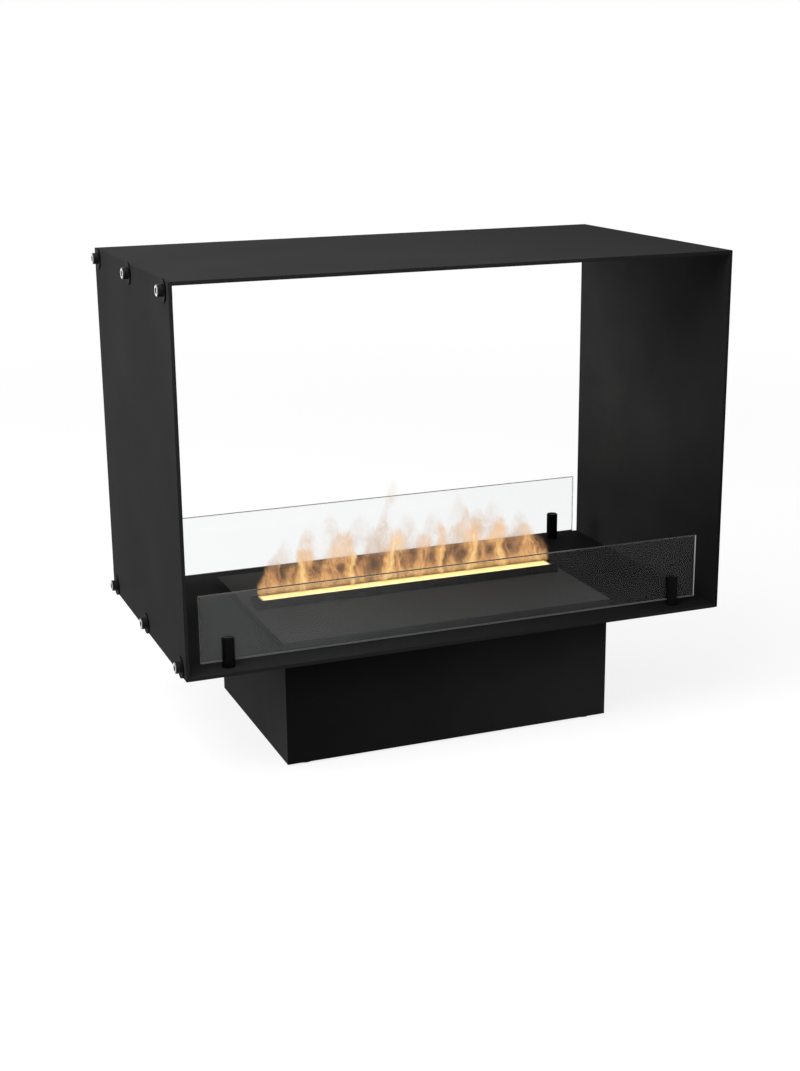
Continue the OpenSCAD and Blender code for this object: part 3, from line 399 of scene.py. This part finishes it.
# Every look by its name
LOOKS = {
    "black_steel": finish("black_steel", *STEEL_TONES, **STEEL_GRAIN),
    # The cover: a lighter coat than the frame's, partly painted light, with painted light towards the rear
    # and its edge faces in painted shade
    "cover_steel_painted_light": steel_with_painted_light("cover_steel_painted_light", (0.104, 0.1038, 0.1025), (0.129, 0.1284, 0.1265),
                               [("X", -0.3, 0.34, 0.52, 0.53), ("Y", -0.02, 0.12, 1.0, 2.1)],
                               painted_edge_shade=(0.045, 0.045, 0.044)),
    # The base: painted shade towards the right and on its edge faces, and painted light towards the rear
    "base_steel_painted_light": steel_with_painted_light("base_steel_painted_light", *STEEL_TONES,
                              [("X", -0.3, 0.34, 1.0, 0.42), ("Y", 0.0, 0.14, 1.0, 1.9)],
                              painted_edge_shade=(0.026, 0.026, 0.026)),
    # The top: painted light on the left, and painted shade towards the right
    "top_steel_painted_light": steel_with_painted_light("top_steel_painted_light", *STEEL_TONES,
                             [("X", -0.35, 0.1, 1.12, 1.0), ("X", 0.1, 0.4, 1.0, 0.72)]),
    # The right wall: painted shade low down and at the front, a painted reflection of the bright backdrop
    # higher up, and painted light towards the rear
    "wall_steel_painted_light": steel_with_painted_light("wall_steel_painted_light", *STEEL_TONES,
                              [("Z", 0.28, 0.42, 0.72, 1.3), ("Y", -0.2, 0.12, 0.55, 1.6)]),
    # The pedestal: painted shade on the left of its front and towards the rear, and painted light on its
    # left face, three times as bright
    "box_steel_painted_light": steel_with_painted_light("box_steel_painted_light", *STEEL_TONES,
                             [("X", -0.24, 0.24, 0.5, 1.1), ("Y", -0.16, 0.16, 1.0, 0.8)], painted_left_light=3.0),
    "dark_collar": finish("dark_collar", (0.006, 0.0055, 0.005), (0.01, 0.0095, 0.009), (0.42, 0.52),
                          patch=20.0, grain=1100.0, relief=0.1, specular=0.015),
    "black_bolts": bolt_material(),
    "black_washers": finish("black_washers", (0.003, 0.003, 0.0032), (0.007, 0.007, 0.0075), (0.5, 0.62),
                            patch=200.0, grain=2000.0, relief=0.12, depth=0.0002, specular=0.02),
    "zinc_steel": finish("zinc_steel", (0.42, 0.43, 0.45), (0.62, 0.62, 0.62), (0.25, 0.38),
                         patch=220.0, grain=2000.0, relief=0.08, depth=0.0002, metallic=1.0),
    "galvanised": galvanised_material(),
    "black_holders": finish("black_holders", (0.003, 0.003, 0.0032), (0.006, 0.006, 0.0063), (0.36, 0.46),
                            patch=150.0, grain=1800.0, relief=0.1, depth=0.0002, specular=0.03),
    "rubber": finish("rubber", (0.008, 0.008, 0.008), (0.02, 0.02, 0.02), (0.7, 0.9),
                     patch=120.0, grain=1500.0, relief=0.2, depth=0.0003, specular=0.3),
    "clear_glass": glass_material(),
    "white_plastic": finish("white_plastic", (0.66, 0.67, 0.66), (0.74, 0.745, 0.735), (0.38, 0.5),
                            patch=25.0, grain=900.0, relief=0.08, depth=0.0002),
    "dark_plastic": finish("dark_plastic", (0.012, 0.012, 0.013), (0.024, 0.024, 0.025), (0.42, 0.6),
                           patch=60.0, grain=1400.0, relief=0.2, depth=0.0002, specular=0.4),
    "opal_light": opal_material(),
    "white_board": board_material("white_board", (0.74, 0.74, 0.7), (0.6, 0.58, 0.5)),
    "green_board": board_material("green_board", (0.014, 0.1, 0.045), (0.03, 0.2, 0.09)),
    "tank_plastic": finish("tank_plastic", (0.5, 0.58, 0.6), (0.6, 0.67, 0.69), (0.2, 0.34),
                           patch=18.0, grain=500.0, relief=0.05, depth=0.0003),
    "cap_plastic": finish("cap_plastic", (0.02, 0.13, 0.33), (0.035, 0.17, 0.4), (0.3, 0.45),
                          patch=80.0, grain=1200.0, relief=0.1, depth=0.0002),
    "hose": finish("hose", (0.52, 0.58, 0.57), (0.64, 0.69, 0.68), (0.22, 0.36),
                   patch=90.0, grain=900.0, relief=0.06, depth=0.0002),
    "brass": finish("brass", (0.52, 0.36, 0.12), (0.68, 0.49, 0.2), (0.24, 0.38),
                    patch=180.0, grain=2000.0, relief=0.08, depth=0.0002, metallic=1.0),
}
# The tank is of a plastic that lets some light through
tank_shader = LOOKS["tank_plastic"].node_tree.nodes["Principled BSDF"]
tank_shader.inputs["Transmission Weight"].default_value = 0.55

# The nodes that each material slot dresses
SLOTS = {
    "black_steel": ["top_panel", "base_panel", "left_side_panel", "right_side_panel", "pedestal_shell",
                    "cover_plate"],
    "dark_collar": ["slot_collar"],
    "black_bolts": ["left_side_bolts"],
    "black_washers": ["left_side_washers"],
    "zinc_steel": ["pedestal_screws", "floor_screws", "post_screws", "casing_screws", "fan_screws",
                   "inlet_screws"],
    "galvanised": ["unit_casing", "pedestal_floor", "power_supply"],
    "black_holders": ["front_left_post", "front_right_post", "rear_left_post", "rear_right_post"],
    "rubber": ["rubber_feet", "glass_pads", "disc_seals", "cap_seal", "cable_grommet", "mains_cable",
               "supply_cable"],
    "clear_glass": ["front_glass", "rear_glass"],
    "white_plastic": ["vapour_basin", "basin_fitting", "float_stem", "level_float", "feed_valve"],
    "dark_plastic": ["mist_duct", "left_fan_housing", "left_fan_rotor", "right_fan_housing",
                     "right_fan_rotor", "power_inlet", "switch_frame", "switch_rocker", "board_parts"],
    "opal_light": ["light_guide", "lamp_chips"],
    "white_board": ["front_light_strip", "rear_light_strip"],
    "green_board": ["control_board", "driver_board"],
    "tank_plastic": ["water_tank"],
    "cap_plastic": ["tank_cap"],
    "hose": ["tank_hose", "basin_hose"],
    "brass": ["ultrasonic_discs", "board_standoffs", "inlet_pins"],
}
# Nodes whose coat carries painted light and shade on top of the look of their slot
OWN_LOOK = {"cover_plate": "cover_steel_painted_light", "base_panel": "base_steel_painted_light", "top_panel": "top_steel_painted_light",
            "right_side_panel": "wall_steel_painted_light", "pedestal_shell": "box_steel_painted_light"}
for slot, members in SLOTS.items():
    for member in members:
        dressed = nodes[member]
        dressed.data.materials.clear()
        dressed.data.materials.append(LOOKS[OWN_LOOK.get(member, slot)])

# Soft edges


def soften(names, width):
    """Small rounded edges on sheet metal and glass, with their width in metres.

    The triangles of a flat face become one face first, so that only real edges are rounded.
    """
    for name in names:
        weld = nodes[name].modifiers.new("weld", "WELD")
        weld.merge_threshold = 0.00001
        flat = nodes[name].modifiers.new("flat_faces", "DECIMATE")
        flat.decimate_type = "DISSOLVE"
        flat.angle_limit = math.radians(0.5)
        bevel = nodes[name].modifiers.new("bevel", "BEVEL")
        bevel.width = width
        bevel.segments = 2
        bevel.limit_method = "ANGLE"
        bevel.angle_limit = math.radians(50)
        nodes[name].modifiers.new("even_shade", "WEIGHTED_NORMAL").keep_sharp = False


soften(["top_panel", "base_panel", "left_side_panel", "right_side_panel"], 0.0006)
soften(["pedestal_shell", "cover_plate", "slot_collar"], 0.0004)
soften(["front_glass", "rear_glass"], 0.0011)

# Flames of lit vapour

# All lengths of the flames are in millimetres. Heights are from the upper edge of the slot's lips, which
# is at LIP_TOP on the part, and x is from the part's middle. Opacity and warmth go from 0 to 1.
SLOT_END = 228.5
FLAME_END = 236.0
FLAME_FOOT = -6.5
LIP_TOP = 197.0
# Columns and rows of a curtain's mesh
CURTAIN_GRID = 400, 64

# Bodies of vapour: knots of the middle line as (height, x), half width, opacity, warmth
BODIES = [
    (((0, -226), (25, -222), (46, -216)), 12, 0.5, 0.42),
    (((0, -208), (30, -209), (48, -206)), 8, 0.5, 0.4),
    (((0, -185), (25, -185), (46, -182)), 7, 0.6, 0.48),
    (((0, -168), (30, -168), (54, -166)), 10, 0.72, 0.66), (((4, -154), (46, -156)), 6, 0.36, 0.25),
    (((0, -132), (25, -132), (44, -128)), 9, 0.6, 0.48),
    (((0, -118), (25, -117), (46, -120)), 6, 0.5, 0.4),
    (((0, -90), (30, -90), (56, -93)), 10, 0.68, 0.62), (((10, -76), (30, -71), (46, -66)), 8, 0.5, 0.34),
    (((0, -36), (30, -32), (54, -28)), 11, 0.7, 0.62), (((0, -12), (40, -14)), 8, 0.45, 0.42),
    (((0, 3), (30, -1), (46, -3)), 7, 0.42, 0.32), (((0, 18), (30, 19), (52, 25)), 8, 0.6, 0.55),
    (((0, 33), (30, 31), (48, 34)), 6, 0.42, 0.34), (((0, 53), (50, 53)), 8, 0.62, 0.62),
    (((0, 73), (14, 73), (30, 70)), 8, 0.6, 0.55), (((0, 101), (28, 104), (50, 108)), 10, 0.72, 0.68),
    (((4, 120), (46, 124)), 8, 0.45, 0.36), (((0, 134), (26, 136)), 8, 0.45, 0.4),
    (((0, 151), (50, 150)), 10, 0.76, 0.7), (((0, 176), (30, 178), (46, 182)), 7, 0.36, 0.28),
    (((0, 197), (30, 196), (50, 195)), 14, 0.56, 0.52), (((0, 216), (22, 212), (40, 205)), 7, 0.45, 0.42),
    (((0, 229), (12, 230)), 8, 0.4, 0.32),
]
# Pale heads of the tongues where they stand over the bright background, the same way
HEADS = [
    (((36, -215), (64, -213)), 9, 0.42, 0.2), (((36, -158), (66, -159)), 18, 0.74, 0.5),
    (((50, -160), (96, -156)), 13, 0.56, 0.42), (((34, -106), (64, -105), (86, -100)), 23, 0.74, 0.5),
    (((60, -88), (84, -92)), 10, 0.4, 0.5), (((68, -116), (114, -120)), 14, 0.4, 0.25),
    (((40, -64), (60, -62), (76, -60)), 8, 0.5, 0.15), (((38, -18), (60, -16), (82, -13)), 15, 0.7, 0.6),
    (((40, -38), (62, -42), (95, -39), (128, -26), (154, -12)), 11, 0.62, 0.15),
    (((36, 29), (68, 27)), 15, 0.66, 0.45), (((60, 38), (100, 42)), 13, 0.34, 0.1),
    (((36, 56), (86, 55)), 10, 0.68, 0.55), (((36, 108), (60, 106), (86, 104)), 22, 0.72, 0.52),
    (((48, 88), (78, 86)), 11, 0.7, 0.35), (((72, 99), (104, 90)), 11, 0.45, 0.45),
    (((60, 118), (98, 114)), 14, 0.5, 0.25), (((36, 147), (60, 148), (80, 148)), 18, 0.78, 0.5),
    (((36, 196), (68, 193)), 16, 0.66, 0.48), (((36, 180), (60, 178)), 10, 0.4, 0.2),
    (((36, 168), (52, 168)), 9, 0.36, 0.15),
]
# Pale smoke at the tips, the same way
SMOKE = [
    (((44, -200), (96, -203)), 17, 0.36, 0.1), (((60, -78), (108, -74)), 17, 0.32, 0.1),
    (((40, -50), (84, -56)), 11, 0.42, 0.05), (((40, 6), (70, 6), (100, 1)), 14, 0.4, 0.05),
    (((78, 92), (100, 84), (124, 84)), 15, 0.32, 0.15), (((56, 130), (108, 142)), 16, 0.34, 0.05),
    (((44, 172), (62, 184), (86, 186)), 14, 0.38, 0.05), (((40, 72), (78, 78)), 11, 0.4, 0.08),
    (((120, -30), (158, -22)), 9, 0.3, 0.1),
]
# Bright ribbons inside the bodies, the same way
RIBBONS = [
    (((4, -231), (20, -230), (34, -224)), 3.4, 0.4, 0.6), (((8, -218), (26, -213)), 4.5, 0.45, 0.6),
    (((24, -200), (46, -204), (56, -207)), 2.2, 0.4, 0.55), (((0, -187), (38, -186)), 4.0, 0.35, 0.6),
    (((0, -165), (20, -167), (46, -172), (62, -173)), 6.0, 0.72, 0.82),
    (((0, -172), (46, -166)), 2.4, 0.4, 0.95), (((10, -147), (26, -151), (44, -158)), 2.0, 0.4, 0.5),
    (((0, -134), (34, -130)), 5.0, 0.42, 0.62),
    (((6, -106), (20, -112), (34, -117), (50, -114)), 2.6, 0.5, 0.62),
    (((0, -92), (22, -92), (42, -89), (58, -93), (82, -106)), 4.6, 0.74, 0.84),
    (((0, -96), (40, -92), (60, -90)), 2.0, 0.45, 1.0),
    (((6, -72), (24, -80), (46, -86)), 2.4, 0.5, 0.65),
    (((8, -84), (30, -80), (44, -70)), 2.2, 0.3, 0.55),
    (((0, -40), (15, -37), (34, -29), (50, -26), (66, -28), (90, -37)), 5.2, 0.74, 0.85),
    (((2, -26), (40, -26)), 2.2, 0.4, 0.95),
    (((60, -34), (85, -40), (108, -38), (134, -24)), 3.0, 0.3, 0.3),
    (((0, -9), (20, -14), (46, -19)), 2.2, 0.6, 0.75), (((0, -20), (22, -17), (46, -12)), 2.2, 0.55, 0.7),
    (((44, -8), (78, -10)), 5.0, 0.3, 0.8), (((0, 15), (25, 16), (44, 17)), 5.4, 0.62, 0.75),
    (((4, 17), (28, 22), (62, 32)), 2.4, 0.55, 0.75), (((8, 31), (30, 30), (60, 35)), 3.0, 0.36, 0.55),
    (((0, 51), (20, 51), (45, 52), (62, 54)), 4.4, 0.74, 0.82), (((40, 50), (82, 49)), 2.4, 0.35, 0.6),
    (((0, 68), (46, 67)), 1.8, 0.45, 0.45), (((2, 75), (12, 74), (26, 70)), 4.5, 0.5, 0.72),
    (((30, 72), (40, 82), (43, 92)), 1.8, 0.35, 0.3),
    (((0, 97), (18, 100), (45, 107), (62, 106), (92, 94)), 6.4, 0.72, 0.84),
    (((2, 95), (40, 104)), 2.4, 0.4, 1.0), (((6, 111), (28, 118), (48, 126)), 2.8, 0.5, 0.55),
    (((4, 128), (24, 137)), 3.0, 0.45, 0.62), (((0, 151), (25, 150), (50, 148)), 7.5, 0.76, 0.84),
    (((2, 147), (40, 148)), 2.4, 0.4, 1.0), (((8, 170), (28, 163), (46, 157)), 2.2, 0.5, 0.62),
    (((8, 180), (28, 187), (46, 195)), 2.2, 0.5, 0.62),
    (((2, 196), (20, 195), (40, 194)), 6.0, 0.42, 0.68),
    (((2, 214), (18, 207), (32, 203)), 3.4, 0.6, 0.9), (((4, 226), (25, 215), (48, 203)), 2.4, 0.45, 0.6),
    (((36, 70), (60, 96)), 2.0, 0.2, 0.4),
]
# Places between the tongues where little vapour rises: x, height and half sizes
GAPS = [
    (-196, 34, 6, 14), (-151, 38, 5, 12), (-105, 32, 8, 13), (-54, 28, 7, 18), (-60, 10, 4, 10),
    (-24, 34, 3, 10), (43, 32, 6, 10), (62, 24, 4, 14), (86, 27, 8, 15), (134, 34, 6, 12),
    (168, 38, 7, 9), (-234, 42, 12, 9), (222, 42, 18, 14),
]


def smooth(a, b, x):
    """A soft step, 0 up to a and 1 from b."""
    t = np.clip((x - a) / (b - a), 0.0, 1.0)
    return t * t * (3 - 2 * t)


def middle_line(knots, h):
    """The x of a smooth line through (height, x) knots, at each height."""
    heights, places = np.array(knots, dtype=float).T
    slopes = np.gradient(places, heights)
    i = np.clip(np.searchsorted(heights, h) - 1, 0, len(heights) - 2)
    span = heights[i + 1] - heights[i]
    t = np.clip((h - heights[i]) / span, 0, 1)
    near = (2 * t**3 - 3 * t**2 + 1) * places[i] + (t**3 - 2 * t**2 + t) * span * slopes[i]
    return near + (3 * t**2 - 2 * t**3) * places[i + 1] + (t**3 - t**2) * span * slopes[i + 1]


def wisp(x, h, knots, half, warm):
    """How much of one tongue lies at x and h, from 0 to 1. Cool vapour has softer edges."""
    start, end = knots[0][0], knots[-1][0]
    t = (h - start) / (end - start)
    wide = half * (1 - 0.55 * np.clip(t, 0, 1) ** 1.6)
    crisp = 1.8 + 1.6 * min(1, 2 * warm)
    share = np.exp(-np.abs((x - middle_line(knots, h)) / wide) ** crisp) * (1 - smooth(0.7, 1.08, t))
    return share * smooth(start - 7, start + 7, h) if start else share


def bent(x, h):
    """Places shifted a little, so that no tongue has a plain outline."""
    wave = 2.0 * np.sin(h / 10.0 + x / 13.0 + 1.5 * np.sin(x / 37.0)) + 1.1 * np.sin(h / 4.6 - x / 6.3)
    return x + wave + 0.6 * np.sin(h / 2.4 + x / 3.1)


def vapour_field(x, h, tongues, haze):
    """Opacity and warmth of the vapour at x and h for one curtain."""
    x = bent(x, h)
    # Haze between the tongues: most of it low down, a little as high as they reach, and less in the gaps
    opacity = haze * (0.44 * (1 - smooth(34, 50, h)) + 0.3 * (1 - smooth(10, 27, h))
                      + 0.06 * (1 - smooth(60, 120, h)))
    for place, height, half, tall in GAPS:
        opacity = opacity * (1 - 0.45 * np.exp(-((x - place) / half) ** 2 - ((h - height) / tall) ** 2))
    warmth = 0.2 + 0.32 * (1 - smooth(8, 28, h))
    # Tongues, which thin out with height
    thin = np.interp(h, [0, 60, 84, 110, 160], [1.0, 0.95, 0.72, 0.5, 0.32])
    for knots, half, thick, warm in tongues:
        share = thick * thin * wisp(x, h, knots, half, warm)
        opacity = 1 - (1 - opacity) * (1 - share)
        warmth = warmth + (warm - warmth) * np.clip(share * 1.4, 0, 1)
    # Clear at the foot and at both ends, which lean inward as they rise
    opacity = opacity * smooth(-1.5, 8.0, h)
    opacity = opacity * smooth(0, 11, FLAME_END + 1 - 0.7 * np.clip(h - 26, 0, 60) - np.abs(x))
    # A ray meets both faces of a curtain, so each has a part of the opacity
    return 1 - np.sqrt(1 - np.clip(opacity, 0, 0.98)), np.clip(warmth, 0, 1)


def envelope(x, tongues):
    """Height of a curtain's upper edge above the lips."""
    top = 54 + 4 * np.sin(x / 19.0)
    for knots, half, _, _ in tongues:
        for height in np.linspace(knots[0][0], knots[-1][0], 12):
            place = middle_line(knots, height)
            top = np.maximum(top, (height + 10) * np.exp(-(((x - place) / (1.9 * half + 4)) ** 2)))
    return top * (0.6 + 0.4 * smooth(0, 14, FLAME_END - np.abs(x)))


def flame_curtain(name, y, bow, tongues, haze):
    """A closed, thin curtain of vapour in the slot, as high as its tongues.

    Its middle stands off y by the bow, and each vertex has an opacity and a warmth.
    """
    columns, rows = CURTAIN_GRID
    across = np.linspace(-1, 1, columns)[:, None]
    share = np.linspace(0, 1, rows)[None, :]
    top = envelope(FLAME_END * across, tongues)
    h = FLAME_FOOT + (top - FLAME_FOOT) * share
    x = across * (SLOT_END + (FLAME_END - SLOT_END) * smooth(-1, 5, h))
    middle = y + bow * (1 - across**2) * smooth(-6, 60, h)
    # Thickest at half height, and thin at the ends and at the upper edge
    thick = 1.2 + 1.2 * np.sin(np.pi * share)
    thick = thick * np.clip((1 - np.abs(across)) * 60, 0.15, 1) * (1 - 0.8 * share**4)
    sides = [np.stack([x, middle + side * thick / 2, h + LIP_TOP], -1).reshape(-1, 3) for side in (-1, 1)]
    points = np.concatenate(sides)
    n = columns * rows
    index = np.arange(n).reshape(columns, rows)
    a, b, c, d = index[:-1, :-1], index[1:, :-1], index[1:, 1:], index[:-1, 1:]
    faces = [np.stack([a, b, c, d], -1).reshape(-1, 4), np.stack([a, d, c, b], -1).reshape(-1, 4) + n]
    rim = np.concatenate([index[:, 0], index[-1, 1:], index[-2::-1, -1], index[0, -2:0:-1]])
    following = np.roll(rim, -1)
    faces.append(np.stack([following, rim, rim + n, following + n], -1))
    mesh = bpy.data.meshes.new(name)
    mesh.from_pydata((points / 1000).tolist(), [], np.concatenate(faces).tolist())
    mesh.shade_smooth()
    # The opacity fades to none at the upper edge, so that no outline shows there
    opacity, warmth = vapour_field(points[:, 0], points[:, 2] - LIP_TOP, tongues, haze)
    opacity = opacity * (1 - smooth(0.86, 1.0, np.tile(share.repeat(columns, 0).ravel(), 2)))
    for key, values in (("opacity", opacity), ("warmth", warmth)):
        mesh.attributes.new(key, "FLOAT", "POINT").data.foreach_set("value", values.astype(np.float32))
    made = bpy.data.objects.new(name, mesh)
    scene.collection.objects.link(made)
    return made


# Heights on the part in metres between which the flames' colour and form change: the yellow light at the
# foot goes out, the threads fade, the colour turns to that of smoke, and the opacity turns patchy
FOOT_LIGHT = 0.1985, 0.2055
THREADS_FADE = 0.235, 0.265
SMOKE_COLOUR = 0.236, 0.25
SMOKE_PATCHES = 0.24, 0.265


def flame_material():
    """Glowing vapour: yellow in the ribbons, orange around them, brown and grey where it is thin."""
    material, tree, shader = new_material("flame_vapour")
    tree.nodes.remove(shader)
    read = {}
    for key in ("opacity", "warmth"):
        read[key] = tree.nodes.new("ShaderNodeAttribute")
        read[key].attribute_name = key
    height = axes(tree)["Z"]
    drift = noise(tree, coords(tree, (1, 1, 0.5)), 85.0, 4.0, 0.62, 1.6)
    billow = noise(tree, coords(tree, (1, 1, 0.7)), 34.0, 3.0, 0.6, 2.0)
    # Thin upright threads, along the lines where a noise passes through its middle value
    threads = []
    for scale, turn, width in ((85.0, 1.4, 0.022), (150.0, 1.8, 0.04)):
        strands = noise(tree, coords(tree, (1, 1, 0.42)), scale, 1.5, 0.5, turn)
        away = calc(tree, "ABSOLUTE", calc(tree, "SUBTRACT", strands, 0.5))
        threads.append(spread(tree, away, 1.0, 0.0, 0.0, width))
    ridge = calc(tree, "MAXIMUM", threads[0], calc(tree, "MULTIPLY", threads[1], 0.6))
    ridge = calc(tree, "MULTIPLY", ridge, spread(tree, height, 1.0, 0.25, *THREADS_FADE))
    # Colour by warmth: one set of tones for the flames, and a paler one for the smoke above them
    warmth = calc(tree, "MULTIPLY", read["warmth"].outputs["Fac"], spread(tree, drift, 0.6, 1.34))
    warmth = calc(tree, "ADD", warmth, calc(tree, "MULTIPLY", ridge, 0.24), clamp=True)
    flame = ramp(tree, warmth,
                 [(0.0, (0.3, 0.16, 0.1)), (0.25, (0.5, 0.25, 0.12)), (0.5, (0.78, 0.41, 0.17)),
                  (0.78, (0.96, 0.56, 0.21)), (1.0, (1.0, 0.72, 0.33))])
    flame = mix_colour(tree, spread(tree, height, 0.75, 0.0, *FOOT_LIGHT), flame, (0.75, 0.4, 0.075))
    smoke = ramp(tree, warmth,
                 [(0.0, (0.62, 0.5, 0.4)), (0.25, (0.7, 0.48, 0.31)), (0.55, (0.9, 0.54, 0.27)),
                  (0.8, (1.0, 0.66, 0.33)), (1.0, (1.0, 0.78, 0.46))])
    glow = tree.nodes.new("ShaderNodeEmission")
    tone = mix_colour(tree, spread(tree, height, 0.0, 1.0, *SMOKE_COLOUR), flame, smoke)
    plug(tree, tone, glow.inputs["Color"])
    glow.inputs["Strength"].default_value = 1.0
    # Opacity, cloudy in the flames and patchy in the smoke
    cloud = calc(tree, "ADD", spread(tree, drift, 0.6, 1.26), calc(tree, "MULTIPLY", ridge, 0.34))
    patchy = calc(tree, "MULTIPLY", cloud, spread(tree, billow, 0.45, 1.45))
    high = spread(tree, height, 0.0, 1.0, *SMOKE_PATCHES)
    cloud = calc(tree, "ADD", calc(tree, "MULTIPLY", cloud, calc(tree, "SUBTRACT", 1.0, high)),
                 calc(tree, "MULTIPLY", patchy, high))
    opacity = calc(tree, "MULTIPLY", read["opacity"].outputs["Fac"], cloud, clamp=True)
    clear = tree.nodes.new("ShaderNodeBsdfTransparent")
    mix_surfaces(tree, opacity, clear.outputs["BSDF"], glow.outputs["Emission"])
    return material


# The two curtains, as (name, y, bow, tongues, haze)
CURTAINS = [
    ("front_flames", -3.5, -4.0, RIBBONS, 0.0),
    ("rear_flames", 3.5, 4.0, BODIES + HEADS + SMOKE, 1.0),
]
flame_look = flame_material()
for name, y, bow, tongues, haze in CURTAINS:
    flames = flame_curtain(name, y, bow, tongues, haze)
    flames.data.materials.append(flame_look)
    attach(flames, "cover")

# Floor, lamps and world

# Half the floor's width, and how far around the object the floor looks a little darker, in metres
FLOOR_HALF = 30.0
NEAR_FLOOR = 1.2, 3.5
# The floor's own colour, the one that it shows near the object, and its glow there, where 1 is white
FLOOR_COLOUR = (0.3, 0.3, 0.3)
NEAR_COLOUR = (0.25, 0.25, 0.25)
NEAR_GLOW = 0.835

# Square area lamps, as (name, place, aim, side, power), in metres and watts
LAMPS = [
    ("top_lamp", (-1.4, -0.8, 2.6), (0, 0, 0.5), 2.4, 70),
    ("left_lamp", (-2.7, -0.9, 1.5), (0, 0, 0.4), 1.6, 13),
    ("rear_left_lamp", (-4.6, 2.4, 1.9), (0.1, 0, 0.4), 2.4, 44),
    ("front_right_lamp", (3.0, -2.8, 1.9), (0, 0, 0.4), 2.4, 38),
    ("low_lamp", (-2.2, 2.2, 0.25), (0.4, 0, 0.6), 1.0, 34),
]


def make_floor():
    """A plain pale floor that goes over into a white background and keeps the object's shadow."""
    mesh = bpy.data.meshes.new("floor")
    r = FLOOR_HALF
    mesh.from_pydata([(-r, -r, 0), (r, -r, 0), (r, r, 0), (-r, r, 0)], [], [(0, 1, 2, 3)])
    floor = bpy.data.objects.new("floor", mesh)
    scene.collection.objects.link(floor)
    material, tree, shader = new_material("pale_floor")
    look = seen(tree)
    away = tree.nodes.new("ShaderNodeVectorMath")
    away.operation = "LENGTH"
    plug(tree, coords(tree), away.inputs[0])
    near = spread(tree, away.outputs["Value"], 1.0, 0.0, *NEAR_FLOOR)
    # Where it is seen, the floor shows a shadow near the object only. Where it lights, it is a plain grey
    pale = mix_colour(tree, near, (0.0, 0.0, 0.0), NEAR_COLOUR)
    plug(tree, mix_colour(tree, look, FLOOR_COLOUR, pale), shader.inputs["Base Color"])
    plug(tree, spread(tree, noise(tree, coords(tree), 12.0), 0.85, 0.95), shader.inputs["Roughness"])
    shader.inputs["Specular IOR Level"].default_value = 0.0
    shader.inputs["Emission Color"].default_value = (1, 1, 1, 1)
    glow = calc(tree, "MULTIPLY", look, spread(tree, near, 1.0, NEAR_GLOW, 0.0, 1.0))
    plug(tree, glow, shader.inputs["Emission Strength"])
    mesh.materials.append(material)


def make_lamp(name, place, aim, side, power):
    """A square area lamp at a place, turned to what it is aimed at."""
    data = bpy.data.lights.new(name, "AREA")
    data.shape = "SQUARE"
    data.size = side
    data.energy = power
    lamp = bpy.data.objects.new(name, data)
    scene.collection.objects.link(lamp)
    lamp.location = place
    lamp.rotation_mode = "QUATERNION"
    lamp.rotation_quaternion = (Vector(aim) - Vector(place)).to_track_quat("-Z", "Y")


def make_world():
    """White where it is seen. Where it lights, a soft light from above and from the backdrop behind."""
    world = bpy.data.worlds.new("studio")
    scene.world = world
    world.use_nodes = True
    tree = world.node_tree
    background = tree.nodes["Background"]
    direction = tree.nodes.new("ShaderNodeTexCoord")
    split = tree.nodes.new("ShaderNodeSeparateXYZ")
    plug(tree, direction.outputs["Generated"], split.inputs["Vector"])
    above = spread(tree, split.outputs["Z"], 0.0, 0.25, 0.0, 1.0)
    behind = calc(tree, "MULTIPLY", spread(tree, split.outputs["Y"], 0.0, 0.22, 0.1, 0.5),
                  spread(tree, split.outputs["Z"], 0.0, 1.0, 0.0, 0.1))
    strength = tree.nodes.new("ShaderNodeMix")
    strength.data_type = "FLOAT"
    plug(tree, seen(tree), strength.inputs[MIX_FACTOR])
    for value, socket in zip((calc(tree, "ADD", above, behind), 1.0), MIX_NUMBERS):
        plug(tree, value, strength.inputs[socket])
    plug(tree, strength.outputs[MIX_NUMBER_OUT], background.inputs["Strength"])
    background.inputs["Color"].default_value = (1, 1, 1, 1)


make_floor()
for lamp in LAMPS:
    make_lamp(*lamp)
make_world()
scene.view_settings.view_transform = "Standard"
